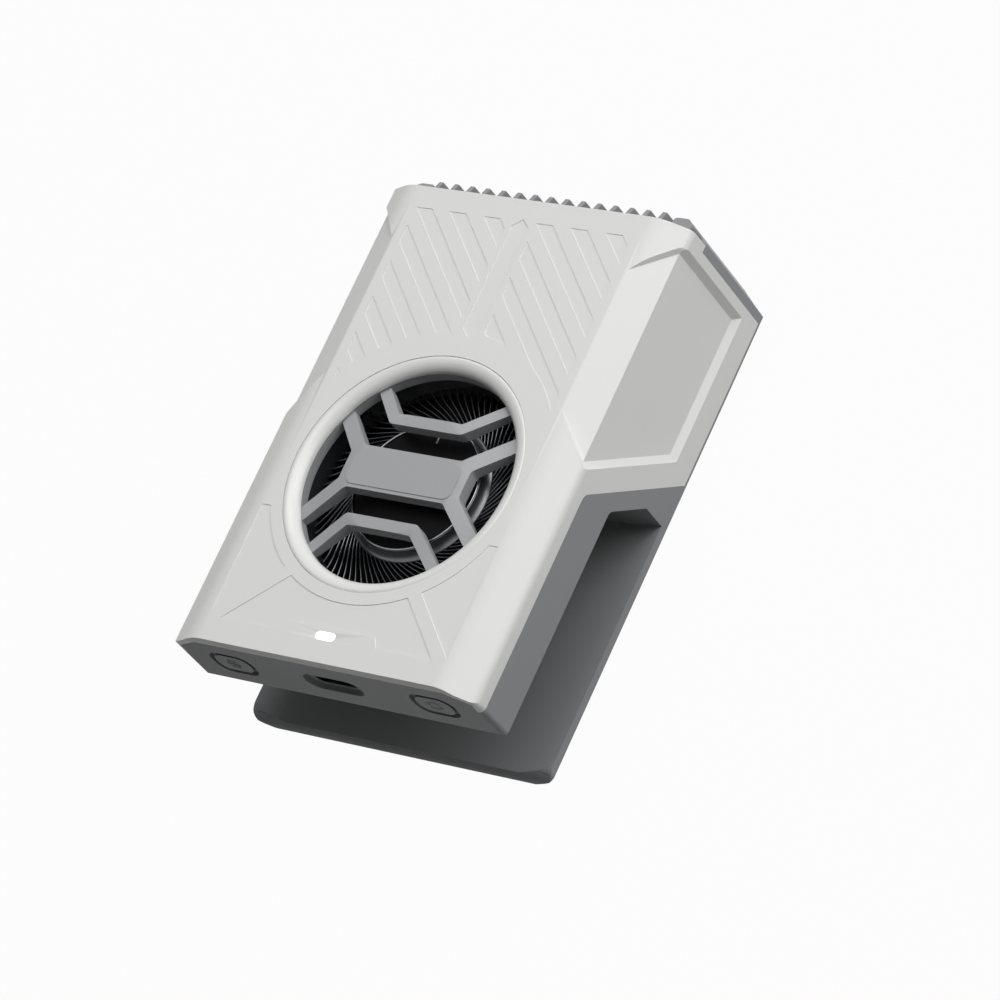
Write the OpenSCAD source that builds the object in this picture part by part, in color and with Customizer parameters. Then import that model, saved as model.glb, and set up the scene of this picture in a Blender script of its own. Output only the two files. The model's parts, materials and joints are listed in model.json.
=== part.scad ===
// Clip-on phone cooling fan with a Peltier module and a USB-C inlet.
// It lies on its jaw plate: +Z leaves the fan opening, +Y points to the vent end, +X is right
// as seen from the front. Places along Y count from the port end until centred() moves them.

/* [Overall] */
// Width across the side faces
overall_w = 63; // [61:0.5:70]
// Length of the cover from the port end to its vent edge
cover_l = 90.2; // [88.5:0.1:96]
// Height from the jaw's rear face to the front face
overall_h = 32.3; // [32:0.1:35]
// How far the vent fins stand past the cover
fin_reach = 3.5; // [2.5:0.1:5]
// Radius of the corners seen from the front
corner_r = 1; // [0.5:0.1:1.3]

/* [Cover] */
// Wall of the cover's front
front_t = 1.8; // [1.6:0.05:2]
// Wall of the cover's sides
side_t = 2.2; // [2:0.05:2.4]
// Thinner lip round the port end
lip_t = 1.1; // [0.9:0.05:1.3]
// Width of the sloping side margins
margin_w = 5.3; // [4.5:0.1:6]
// Fall of the sloping side margins
margin_drop = 2.9; // [2.4:0.1:3.2]
// Round where a margin meets the side face
margin_side_r = 2; // [0.8:0.1:2.2]
// Round where a margin meets the front face
margin_front_r = 8; // [2:0.5:8]
// Fall of the bevel along the port end
end_bevel = 1; // [0.5:0.1:1.05]
// Depth of the cover's side wall at the port end, from the front face to the seam
seam_drop = 6; // [5.5:0.1:6.5]
// Width of the grey gusset band between the slot and the seam
gusset_w = 7.3; // [6:0.1:7.5]
// Rise along Y of the leaning seam and gusset for each millimetre of depth
lean = 0.665; // [0.6:0.005:0.7]
// Step down of the side walls at the vent end
notch_t = 1.3; // [0.8:0.1:1.6]
// Distance of that step's upper end from the front face
notch_drop = 7.6; // [6.5:0.1:10]

/* [Side recess] */
// Depth of the recess in each side face
recess_t = 1; // [0.6:0.05:1.1]
// Height of its rear edge
recess_z = 8.4; // [7.5:0.1:12]
// Distance of its vent edge from the vent end
recess_end = 4.4; // [4.3:0.1:10]
// Distance of its lower corner from the slot's end
recess_start = 11; // [10.5:0.1:13]
// Distance from the centre line to its inner line on the front face
facet_x = 24.7; // [24:0.1:26]
// Fall of the front facet for each millimetre outwards
facet_fall = 0.57; // [0.5:0.01:0.6]
// Length of that inner line
facet_l = 27.3; // [22:0.1:30]
// Distance of the inner line's lower end from the slot's end
facet_start = 4.2; // [3:0.1:6]
// Spread of the bevelled walls for each millimetre of depth
bevel_k = 1.2; // [0.8:0.1:1.8]
// Spread of the front facet's walls for each millimetre of depth
facet_bevel_k = 0.8; // [0.5:0.1:1.2]

/* [Front relief] */
// Depth of the diagonal bands
band_t = 0.2; // [0.15:0.05:0.5]
// Width of a band along X
band_w = 3.55; // [2.5:0.05:4.5]
// Spacing of the bands along X
band_pitch = 7.2; // [6.5:0.1:9]
// Inner edge of the band fields
band_x0 = 2.8; // [2.6:0.1:4]
// Outer edge of the band fields
band_x1 = 22.6; // [20:0.1:23.5]
// Distance of the band fields from the vent edge
band_top = 4.2; // [3.5:0.1:6]
// Radius round the fan kept clear of bands
band_clear_r = 27.4; // [26:0.1:30]
// Half width of the centre recess
spine_w = 1.8; // [1:0.1:2.2]
// Depth of the centre recess and the lower panels
panel_t = 0.25; // [0.2:0.05:0.6]
// Radius round the fan kept clear of panels
panel_clear_r = 24.9; // [24.5:0.1:26]

/* [Clip frame] */
// Thickness of the body above the slot
body_t = 14.1; // [13.9:0.1:14.5]
// Depth of the slot from the port end
slot_l = 48.2; // [47:0.1:50]
// Height where the slot's end wall starts to lean
gusset_z = 9.5; // [8:0.1:11]
// Wall of the tray floor
floor_t = 1.2; // [1.1:0.05:1.3]
// Wall of the tray sides
tray_t = 1.5; // [1.2:0.05:1.6]
// Wall of the port end
end_t = 1.8; // [1.7:0.05:2.2]
// Thickness of the jaw plate
jaw_t = 2.4; // [2:0.1:2.8]
// Width of the jaw plate's sloping margins
jaw_margin_w = 4.9; // [3:0.1:6]
// Rise of the jaw plate's sloping margins
jaw_margin_rise = 1.9; // [0.8:0.1:2]
// Rise of the jaw plate's inner face towards its side edges
jaw_rim_rise = 1.2; // [0.5:0.1:1.3]
// Radius of the jaw plate's free corners seen from the front
jaw_corner_r = 1.5; // [1:0.1:3]
// Round on the inner side of the jaw's free edge
jaw_lead_r = 3; // [2:0.1:3.2]

/* [Fan] */
// Place of the fan axis along Y
fan_y = 36.4; // [36:0.1:37]
// Outer radius of the white bezel ring
bezel_r = 22.6; // [22.2:0.1:23]
// Radius of the bezel's mouth at the front
mouth_r = 22.3; // [22:0.05:22.4]
// Radius of the bezel's throat
throat_r = 20.1; // [19.8:0.1:20.6]
// Number of impeller blades
blade_n = 96; // [60:1:100]
// Tip radius of the blades
blade_r = 20.1; // [19.5:0.1:20.2]
// Thickness of a blade
blade_t = 0.28; // [0.2:0.02:0.3]
// Sweep of a blade from root to tip in degrees
blade_sweep = 30; // [10:1:32]
// Share of the sweep by which a blade turns back to the radius
blade_ease = 0.73; // [0:0.01:0.9]
// Drop from the hub's rim to the blades
blade_drop = 2.15; // [1.9:0.05:2.3]
// Radius of the hub's rim
hub_r = 12; // [11.8:0.05:12.2]
// Radius of the hub's foot
hub_foot_r = 12.65; // [12.5:0.05:13]
// Radius of the motor shaft
shaft_r = 1; // [0.8:0.05:1.2]
// Radial clearance of the shaft in its bearing
shaft_clear = 0.03; // [0.02:0.01:0.06]
// Clearance between turning and fixed parts
run_clear = 0.3; // [0.25:0.05:0.4]

/* [Grille] */
// Thickness of the grille bars
bar_t = 2.4; // [1.8:0.1:2.8]
// Half height of the centre bar
bar_h = 4.05; // [3:0.05:4.5]
// Height of the bare name plate on the centre bar
bar_plate_t = 0.15; // [0.1:0.05:0.2]
// Half length of the centre bar
bar_l = 12.5; // [12:0.1:13]
// Half length of the centre bar's straight edges
bar_edge_l = 10.1; // [9.5:0.1:10.5]
// Width of the arms
arm_w = 2.7; // [2:0.1:3.2]
// Lean of the arms and of the bent struts' ends
arm_angle = 44; // [38:1:50]
// Distance from the axis to the middle of a bent strut
strut_y = 9.7; // [9:0.1:11]
// Width of a bent strut
strut_w = 2.1; // [1.5:0.1:2.6]
// Half length of the straight middle of a bent strut
strut_l = 7.4; // [6:0.1:8.5]
// Radius where the grille starts to fall towards its rim
dish_r = 11.4; // [10:0.1:13]
// Fall of the grille at its rim
dish_drop = 2; // [1:0.1:2.1]

/* [Vent] */
// Number of fins
fin_n = 15; // [9:2:17]
// Spacing of the fins
fin_pitch = 3.35; // [2.8:0.05:3.4]
// Thickness of a fin where it leaves the cover
fin_t = 2.5; // [1.8:0.1:2.6]
// Thickness of a fin at its tip
fin_tip_t = 0.9; // [0.7:0.05:1.2]
// Distance of the fins' front edge from the front face
fin_drop = 3.2; // [3:0.1:4]
// Height of the fins' rear edge
fin_z0 = 4; // [3.5:0.1:5]
// Width of the flat top of an end rib
rib_w = 1.5; // [1:0.1:2]

/* [Cooling stack] */
// Side of the square Peltier module
peltier_w = 30; // [28:0.5:30]
// Thickness of the Peltier module
peltier_t = 1.8; // [1.6:0.05:1.9]
// How far the cold plate stands into the slot
plate_out = 1.5; // [1.2:0.1:2]
// Thickness of the cold plate's flange
flange_t = 0.6; // [0.5:0.05:0.7]
// Thickness of the heat sink's base
sink_t = 0.8; // [0.7:0.05:0.9]
// Number of heat sink fins
sink_fin_n = 16; // [8:2:18]
// Thickness of a heat sink fin
sink_fin_t = 0.8; // [0.5:0.05:1]
// Thickness of the grip pad round the cold plate
pad_t = 1; // [0.6:0.1:1.2]
// Thickness of the jaw pad
jaw_pad_t = 1.2; // [0.8:0.1:1.6]

/* [Electronics] */
// Width of the USB-C socket shell
usb_w = 8.94; // [8.94:0.01:8.98]
// Height of the USB-C socket shell
usb_h = 3.26; // [3.2:0.02:3.3]
// Length of the USB-C socket
usb_l = 7.35; // [6.8:0.05:7.6]
// Thickness of the circuit board
board_t = 1; // [0.8:0.1:1.2]
// Distance of a button's middle from the side face
button_inset = 10.5; // [10.3:0.1:11]
// Length of a button's face
button_w = 7.4; // [6.8:0.1:7.6]
// Height of a button's face
button_h = 4.9; // [4.2:0.1:5]
// Travel of a button
button_travel = 0.4; // [0.2:0.05:0.5]
// Clearance round a button
button_clear = 0.2; // [0.15:0.05:0.25]
// Width of the groove round a button
groove_w = 0.8; // [0.5:0.1:0.9]
// Length of the status lens
lens_w = 4; // [3:0.1:5]
// Width of the status lens
lens_h = 1.5; // [1.2:0.1:1.8]
// Place of the status lens along Y
lens_y = 5.2; // [5:0.1:5.4]
// Radius of a screw's thread
screw_r = 0.8; // [0.7:0.05:0.9]
// Radius of a screw's head
screw_head_r = 1.5; // [1.4:0.05:1.6]

/* [Hidden] */
$fn = 64;
total_l = cover_l + fin_reach;
half_w = overall_w / 2;
far = 200;
slack = 0.05;
seam_z = overall_h - seam_drop;
seam_y = slot_l - gusset_w;
seam_end_y = seam_y + (seam_z - jaw_t) * lean;
slot_z = overall_h - body_t;
slot_corner_y = slot_l - (slot_z - gusset_z) * lean;
notch_z = overall_h - notch_drop;
fin_z = overall_h - fin_drop;
rib_foot_y = cover_l + 0.4;
floor_z = slot_z + floor_t;
front_in_z = overall_h - front_t;
lip_in_z = overall_h - lip_t;
margin_fall = margin_drop / margin_w;
jaw_l = cover_l + 0.4;
jaw_rim_z = jaw_t + jaw_rim_rise;
jaw_rim_w = jaw_margin_w + 2;
gusset_t = floor_t;

// heights of the cooling stack and the motor, from the tray floor up
plate_z = slot_z - plate_out;
peltier_z = floor_z + flange_t;
sink_z = peltier_z + peltier_t;
base_z = sink_z + sink_t;
base_t = 0.5;
motor_z = base_z + base_t;
motor_board_t = 0.3;
disc_z = motor_z + run_clear;
disc_t = 0.4;
cup_z = motor_z + motor_board_t + run_clear;
hub_drop = 4.4;
hub_top_z = overall_h - hub_drop;
blade_top_z = hub_top_z - blade_drop;
hub_top_t = 1;
cup_top_z = hub_top_z - hub_top_t;
cup_t = 0.5;
cup_r = hub_r - 0.6;
cup_wall_t = 0.5;
magnet_t = 1.2;
stator_r = cup_r - cup_wall_t - magnet_t - run_clear;
tower_r = 3;
bearing_r = 2.4;
bearing_top_z = cup_top_z - cup_t - run_clear;
bezel_flange_r = bezel_r + 1.2;
bezel_flange_z = front_in_z - 0.8;
ring_z = bezel_flange_z - 1.3;
duct_r = blade_r + 0.7;
duct_t = 1.2;
fan_screw_r = duct_r + duct_t + screw_head_r + 0.1;
fan_screw_angles = [40, 140, 235, 305];
ear_r = 2;
ring_step_r = throat_r + 0.9;

// plan of the cooling stack
stack_y = slot_corner_y / 2 + 3.3;
window_w = peltier_w + 3.4;
window_l = slot_corner_y - 15;
flange_w = peltier_w + 7;
flange_l = slot_corner_y - 11.4;
pad_edge = 4.2;
pad_w = window_w + 2 * pad_edge;
pad_l = slot_corner_y - 9.5;
sink_w = overall_w - 21;
sink_y0 = 9.5;
duct_floor_y = slot_l + gusset_t;
sink_end = 6;
sink_y1 = cover_l - sink_end;
sink_fin_y0 = duct_floor_y + 12.8;
sink_fin_w = overall_w - 15;
sink_clear = 1;

// plan of the electronics
board_drop = 5.55;
board_z = overall_h - board_drop;
board_y0 = end_t + 1.4;
board_y1 = 12.4;
board_w = overall_w - 14.2;
ribbon_w = 4;
ribbon_t = 0.2;
ribbon_z = motor_z - ribbon_t;
usb_z = board_z - usb_h / 2;
port_recess_w = usb_w + 3.1;
port_recess_h = 4.8;
port_recess_z = usb_z - 0.1;
port_recess_t = 0.9;
button_x = half_w - button_inset;
button_flange_t = 0.6;
button_flange_edge = 0.5;
groove_t = 0.7;
switch_y = end_t + 1.8;
boss_x = half_w - 4.7;
boss_ys = [6, 38];
boss_r = 1.9;
boss_hole_l = 6;
post_x = half_w - 8.5;
post_y = 10.9;
post_r = 1.3;
post_hole_l = 3;
screw_head_t = 0.6;
screw_sunk = 0.1;

// moves a piece from the port end's frame to the part's own origin
module centred() {
    translate([0, -total_l / 2, 0]) children();
}

// extrudes an X-Z outline from y0 to y1
module along_y(y0, y1) {
    translate([0, y1, 0]) rotate([90, 0, 0]) linear_extrude(y1 - y0) children();
}

// extrudes a Y-Z outline from x0 to x1
module along_x(x0, x1) {
    translate([x0, 0, 0]) rotate([90, 0, 90]) linear_extrude(x1 - x0) children();
}

module both_sides() {
    for (s = [0, 1]) mirror([s, 0, 0]) children();
}

module at_fan(z = 0) {
    translate([0, fan_y, z]) children();
}

// box between two corners
module block(low, high) {
    translate(low) cube(high - low);
}

// outline with round ends, centred
module pill(w, h) {
    square([w - h, h], center = true);
    for (s = [-1, 1]) translate([s * (w - h) / 2, 0]) circle(d = h);
}

module round_rect(w, h, r) {
    square([w - 2 * r, h], center = true);
    square([w, h - 2 * r], center = true);
    for (sx = [-1, 1], sy = [-1, 1])
        translate([sx * (w / 2 - r), sy * (h / 2 - r)]) circle(r);
}

// arc of radius r that rounds the corner b of a path a, b, c
function unit(v) = v / norm(v);
function corner(a, b, c, r, n = 5) =
    let (u = unit(a - b), v = unit(c - b),
        half = acos(u * v) / 2,
        mid = b + unit(u + v) * r / sin(half),
        p = b + u * r / tan(half) - mid,
        q = b + v * r / tan(half) - mid,
        turn = (p[0] * q[1] - p[1] * q[0] < 0 ? -1 : 1) * (180 - 2 * half))
    [for (i = [0:n]) let (k = turn * i / n)
        mid + [p[0] * cos(k) - p[1] * sin(k), p[0] * sin(k) + p[1] * cos(k)]];

// a large box on the inner side of the plane through p with outward normal n
module half_space(p, n) {
    u = unit(n);
    translate(p) rotate([0, acos(u[2]), atan2(u[1], u[0])])
        translate([-far / 2, -far / 2, -far]) cube(far);
}

// front seen from above with its round corners
module plan_outline(l) {
    translate([0, l / 2]) round_rect(overall_w, l, corner_r);
}

// X-Z outline of the cover's outside, open towards -Z
module cover_section() {
    low = [half_w, -1];
    side = [half_w, overall_h - margin_drop];
    front = [half_w - margin_w, overall_h];
    right = concat([low], corner(low, side, front, margin_side_r),
        corner(side, front, [0, overall_h], margin_front_r));
    left = [for (i = [len(right) - 1:-1:0]) [-right[i][0], right[i][1]]];
    polygon(concat(right, left));
}

// X-Z outline of the cover's inside for walls of side_wall and front_wall
module cover_inside(side_wall, front_wall) {
    x = half_w - side_wall;
    flat_x = half_w - margin_w - 0.4;
    top = overall_h - front_wall;
    side_top = top - (x - flat_x) * margin_fall;
    polygon([[x, -1], [x, side_top], [flat_x, top], [-flat_x, top], [-x, side_top], [-x, -1]]);
}

// Y-Z outline of the cover seen from the side
module cover_profile() {
    polygon(concat([[0, seam_z]],
        corner([0, seam_z], [seam_y, seam_z], [seam_end_y, jaw_t], 2),
        [[seam_end_y, jaw_t], [cover_l - notch_t, jaw_t], [cover_l - notch_t, notch_z],
        [cover_l, notch_z], [cover_l, overall_h], [end_bevel * 0.4, overall_h],
        [0, overall_h - end_bevel]]));
}

// wedge that cuts the six-sided recess into the right side and its front margin
module side_recess() {
    floor_x = half_w - recess_t;
    facet_low_z = overall_h - (floor_x - facet_x) * facet_fall;
    recess_top_y = cover_l - recess_end;
    recess_low_y = slot_l + recess_start;
    top_in = [facet_x, slot_l + facet_start + facet_l, overall_h];
    top_out = [floor_x, recess_top_y, facet_low_z];
    low_in = [facet_x, slot_l + facet_start, overall_h];
    low_out = [floor_x, recess_low_y - (facet_low_z - recess_z) * lean, facet_low_z];
    facet_n = unit([facet_fall, 0, 1]);
    side_n = [1, 0, 0];
    top_m = unit(cross(facet_n, top_out - top_in));
    low_m = unit(cross(low_out - low_in, facet_n));
    side_low_m = unit([0, -1, -lean]);
    edge = [floor_x, 0, facet_low_z];
    mitre = facet_n - side_n;
    intersection() {
        recess_wedge(floor_x, facet_low_z);
        half_space(edge, -mitre);
        half_space(top_in, top_m - facet_n * facet_bevel_k);
        half_space(low_in, low_m - facet_n * facet_bevel_k);
    }
    intersection() {
        recess_wedge(floor_x, facet_low_z);
        half_space(edge + [0, 0, slack], mitre);
        half_space(top_out, [0, 1, 0] - side_n * bevel_k);
        half_space(low_out, side_low_m - side_n * bevel_k);
    }
}

// endless wedge over the recess floor and the front facet
module recess_wedge(floor_x, facet_low_z) {
    along_y(0, cover_l) polygon([[floor_x, recess_z],
        [half_w + 1, recess_z - (recess_t + 1) * bevel_k], [half_w + 1, overall_h + 1],
        [facet_x - 1 / facet_fall, overall_h + 1], [floor_x, facet_low_z]]);
}

// diagonal bands of one field, from its left edge x0
module bands(x0) {
    w = band_x1 - band_x0;
    top = cover_l - band_top;
    reach = 60;
    difference() {
        intersection() {
            translate([x0, top - reach]) square([w, reach]);
            for (k = [-5:3]) translate([x0 + k * band_pitch, top])
                polygon([[0, 0], [band_w, 0], [band_w + reach, -reach], [reach, -reach]]);
        }
        translate([0, fan_y]) circle(band_clear_r);
    }
}

// slim six-sided recess between the band fields
module spine() {
    top = cover_l - band_top + 0.4;
    low = fan_y + panel_clear_r + 1.7;
    w = spine_w;
    polygon([[0, top], [w, top - 1.5], [w, low + 1.4], [0, low], [-w, low + 1.4], [-w, top - 1.5]]);
}

// lower panels: a trapezium under the fan and a triangle at each side of it
module lower_panels() {
    low = 4.85;
    tab_w = 10.5;
    tab_h = 1.9;
    wide = 22;
    edge = 24.6;
    reach = 14;
    difference() {
        union() {
            polygon([[-wide, low], [-tab_w, low], [-tab_w + 1, low + tab_h],
                [tab_w - 1, low + tab_h], [tab_w, low], [wide, low], [wide - reach, low + reach],
                [reach - wide, low + reach]]);
            both_sides() polygon([[edge, low + 0.7], [edge, fan_y - 10], [edge - 6, fan_y - 10],
                [edge - reach, low + 0.7 + reach]]);
        }
        translate([0, fan_y]) circle(panel_clear_r);
    }
}

// white shell: front, sloping margins and side walls, open at both ends and behind
module front_cover() {
    relief_z = overall_h + 1;
    color([0.84, 0.84, 0.83]) centred() difference() {
        union() {
            difference() {
                intersection() {
                    along_y(0, cover_l) cover_section();
                    along_x(-half_w, half_w) cover_profile();
                    linear_extrude(far) plan_outline(cover_l + corner_r);
                }
                along_y(-1, end_t) cover_inside(lip_t, lip_t);
                along_y(end_t - slack, cover_l + 1) cover_inside(side_t, front_t);
            }
            for (x = [-boss_x, boss_x], y = boss_ys)
                translate([x, y, floor_z]) cylinder(r = boss_r, h = front_in_z - floor_z + slack);
        }
        both_sides() side_recess();
        for (x0 = [-band_x1, band_x0])
            translate([0, 0, relief_z - band_t - 1]) linear_extrude(2) bands(x0);
        translate([0, 0, relief_z - panel_t - 1]) linear_extrude(2) {
            spine();
            lower_panels();
        }
        at_fan(-1) cylinder(r = bezel_r + slack, h = far);
        translate([0, lens_y, 0]) linear_extrude(far) pill(lens_w + slack, lens_h + slack);
        for (x = [-boss_x, boss_x], y = boss_ys)
            translate([x, y, floor_z - 1]) cylinder(r = screw_r, h = boss_hole_l + 1);
    }
}

// Y-Z outline of the frame: tray, gusset and jaw plate round the open slot
module frame_profile() {
    tray_low = [0, slot_z];
    slot_corner = [slot_corner_y, slot_z];
    slot_apex = [slot_l, gusset_z];
    polygon(concat([[0.3, 0], [0, 0.3]],
        corner([0, 0], [0, jaw_rim_z], [slot_l, jaw_rim_z], jaw_lead_r, 8),
        [[slot_l, jaw_rim_z], slot_apex],
        corner(slot_apex, slot_corner, tray_low, 1.5),
        corner(slot_corner, tray_low, [0, seam_z], 0.8, 4),
        [[0, lip_in_z], [end_t - slack, lip_in_z], [end_t - slack, seam_z]],
        corner([0, seam_z], [seam_y, seam_z], [seam_end_y, jaw_t], 2),
        [[seam_end_y, jaw_t]],
        corner([seam_end_y, jaw_t], [jaw_l, jaw_t], [jaw_l, 0], 0.4, 3),
        corner([jaw_l, jaw_t], [jaw_l, 0], [0, 0], 1.2)));
}

// X-Z outline of the frame with the jaw's sloping margins and the end wall inside the lip
module frame_section() {
    union() {
        polygon([[half_w - jaw_margin_w, 0], [half_w, jaw_margin_rise], [half_w, seam_z],
            [-half_w, seam_z], [-half_w, jaw_margin_rise], [jaw_margin_w - half_w, 0]]);
        intersection() {
            cover_inside(lip_t, lip_t);
            translate([-half_w, seam_z - 1]) square([overall_w, lip_in_z - seam_z + 1]);
        }
    }
}

// slot space above the jaw plate, whose inner face rises towards its side edges
module jaw_channel() {
    flat_x = half_w - jaw_rim_w;
    out_x = half_w + 1;
    out_z = jaw_rim_z + jaw_rim_rise / jaw_rim_w;
    along_y(-1, slot_l) polygon([[flat_x, jaw_t], [out_x, out_z], [out_x, out_z + 1],
        [-out_x, out_z + 1], [-out_x, out_z], [-flat_x, jaw_t]]);
}

// plan of the jaw's free corners under the slot and of the body above it
module frame_plan() {
    linear_extrude(slot_z - 1) translate([0, total_l / 2])
        round_rect(overall_w, total_l, jaw_corner_r);
    translate([0, 0, slot_z - 2]) linear_extrude(far) plan_outline(jaw_l + 2 * corner_r);
}

// hollow of the tray and the duct behind the gusset
module tray_hollow() {
    run = gusset_t * (sqrt(1 + lean * lean) - 1) / lean;
    along_x(tray_t - half_w, half_w - tray_t)
        polygon([[end_t, far], [end_t, floor_z],
            [slot_corner_y + gusset_t - floor_t * lean + run * lean, floor_z],
            [slot_l + gusset_t, gusset_z + run], [slot_l + gusset_t, jaw_t],
            [jaw_l + 1, jaw_t], [jaw_l + 1, far]]);
}

module button_hole(x) {
    hole_w = button_w + 2 * button_clear;
    hole_h = button_h + 2 * button_clear;
    translate([x, 0, usb_z]) {
        along_y(-1, end_t + 1) round_rect(hole_w, hole_h, hole_h / 2 - 0.2);
        along_y(-1, groove_t) round_rect(button_w + 2 * groove_w, button_h + 2 * groove_w, 2.6);
    }
}

// grey one-piece frame: tray under the cover, gusset behind the slot and thin jaw plate
module clip_frame() {
    color([0.5, 0.51, 0.52]) centred() difference() {
        union() {
            difference() {
                intersection() {
                    along_x(-half_w, half_w) frame_profile();
                    along_y(-1, far) frame_section();
                    frame_plan();
                }
                tray_hollow();
            }
            for (s = [-1, 1]) translate([s * post_x, post_y, floor_z - slack])
                cylinder(r = post_r, h = board_z - floor_z + slack);
        }
        jaw_channel();
        block([-window_w / 2, stack_y - window_l / 2, slot_z - 1],
            [window_w / 2, stack_y + window_l / 2, floor_z + 1]);
        translate([0, 0, port_recess_z]) along_y(-1, port_recess_t)
            pill(port_recess_w, port_recess_h);
        translate([0, 0, usb_z]) along_y(-1, end_t + 1) pill(usb_w + slack, usb_h + slack);
        button_hole(-button_x);
        button_hole(button_x);
        for (s = [-1, 1]) translate([s * post_x, post_y, board_z - post_hole_l])
            cylinder(r = screw_r, h = post_hole_l + 1);
        for (x = [-boss_x, boss_x], y = boss_ys) translate([x, y, 0]) {
            translate([0, 0, slot_z - 1]) cylinder(r = screw_r + slack, h = floor_t + 2);
            translate([0, 0, slot_z - 1])
                cylinder(r = screw_head_r + slack, h = 1 + screw_sunk + screw_head_t);
        }
    }
}

// white ring with a bell mouth and a flange under the cover
module fan_bezel() {
    lip_z = front_in_z - 0.1;
    steps = 10;
    color([0.85, 0.85, 0.84]) centred() at_fan() rotate_extrude($fn = 96) polygon(concat(
        [[ring_step_r, lip_z], [ring_step_r, bezel_flange_z],
        [bezel_flange_r, bezel_flange_z], [bezel_flange_r, front_in_z], [bezel_r, front_in_z],
        [bezel_r, overall_h - 0.1]],
        [for (i = [0:steps]) let (t = 90 * i / steps)
            [mouth_r - (mouth_r - throat_r) * sin(t), lip_z + (overall_h - lip_z) * cos(t)]]));
}

// bent strut above the centre bar: a straight middle with two leaning ends
module bent_strut() {
    inner = strut_y - strut_w / 2;
    outer = strut_y + strut_w / 2;
    bend = strut_w * tan(arm_angle / 2);
    run = 14;
    rise = run * tan(arm_angle);
    low = [strut_l, inner];
    high = [strut_l - bend, outer];
    right = concat(corner([0, inner], low, low + [run, rise], 1.4, 4),
        [low + [run, rise], high + [run, rise]],
        corner(high + [run, rise], high, [0, outer], 0.8, 4));
    left = [for (i = [len(right) - 1:-1:0]) [-right[i][0], right[i][1]]];
    polygon(concat(right, left));
}

// centre bar with an arm at each corner, as one closed path
module cross_bar() {
    run = 14;
    rise = run * tan(arm_angle);
    low_y = bar_h + (bar_l - bar_edge_l) * tan(arm_angle) - arm_w / cos(arm_angle);
    low = [bar_l, low_y];
    high = [bar_edge_l, bar_h];
    arm = concat(corner([bar_l, 0], low, low + [run, rise], 1, 4),
        [low + [run, rise], high + [run, rise]],
        corner(high + [run, rise], high, [0, bar_h], 1.2, 4));
    back = [for (i = [len(arm) - 1:-1:0]) arm[i]];
    polygon(concat(arm, [for (p = back) [-p[0], p[1]]], [for (p = arm) [-p[0], -p[1]]],
        [for (p = back) [p[0], -p[1]]]));
}

// grey grille: bars and struts cut from a shallow dish, on a ring under the bezel
module fan_grille() {
    top = overall_h - 0.1 - bar_plate_t;
    rim_top = top + bar_plate_t - dish_drop;
    ring_r = throat_r + 0.1;
    bar_end_r = ring_r + 0.4;
    bar_end_top = rim_top - 0.1;
    bar_end_low = ring_z + 0.1;
    color([0.55, 0.56, 0.57]) centred() at_fan() union() {
        intersection() {
            translate([0, 0, ring_z - 1]) linear_extrude(overall_h - ring_z + 2) {
                cross_bar();
                bent_strut();
                mirror([0, 1]) bent_strut();
            }
            rotate_extrude($fn = 96) polygon([[0, top - bar_t], [dish_r, top - bar_t],
                [throat_r - 1, bar_end_low], [bar_end_r, bar_end_low], [bar_end_r, bar_end_top],
                [throat_r - 0.1, bar_end_top], [dish_r, top], [0, top]]);
        }
        translate([0, 0, top - slack]) linear_extrude(bar_plate_t + slack)
            round_rect(2 * bar_l - 3, 2 * bar_h - 1.3, 1.6);
        rotate_extrude($fn = 96) polygon([[ring_r, ring_z], [bezel_flange_r - 0.3, ring_z],
            [bezel_flange_r - 0.3, bezel_flange_z], [ring_step_r, bezel_flange_z],
            [ring_step_r, rim_top], [ring_r, rim_top]]);
    }
}

// section of an end rib in X-Y, right side
module end_rib() {
    inner_x = (fin_n + 1) / 2 * fin_pitch - rib_w;
    low_y = cover_l - 2.5;
    top_y = total_l - 0.2;
    top_x = inner_x + rib_w;
    polygon(concat([[inner_x, low_y]],
        corner([inner_x, low_y], [inner_x, top_y], [top_x, top_y], 0.6, 4),
        corner([inner_x, top_y], [top_x, top_y], [half_w, rib_foot_y], 0.8, 4),
        [[half_w, rib_foot_y], [half_w, low_y]]));
}

// section of one fin in X-Y: a wedge with a round tip
module fin_wedge() {
    low_y = cover_l - 2.5;
    foot_y = cover_l - 0.4;
    foot = fin_t / 2;
    tip = fin_tip_t / 2;
    polygon(concat([[foot, low_y], [foot, foot_y]],
        corner([foot, foot_y], [tip, total_l], [-tip, total_l], 0.45, 4),
        corner([tip, total_l], [-tip, total_l], [-foot, foot_y], 0.45, 4),
        [[-foot, foot_y], [-foot, low_y]]));
}

// Y-Z outline that the fins and ribs keep within, up to height top
module fin_profile(top) {
    low_y = cover_l - 2.5;
    foot = [rib_foot_y, fin_z0];
    rear = [total_l, fin_z0 + 1];
    polygon(concat([[low_y, jaw_t], [rib_foot_y, jaw_t], foot],
        corner(foot, rear, [total_l, top], 1.2, 4),
        corner([total_l, fin_z0], [total_l, top], [low_y, top], 0.5, 4), [[low_y, top]]));
}

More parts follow.
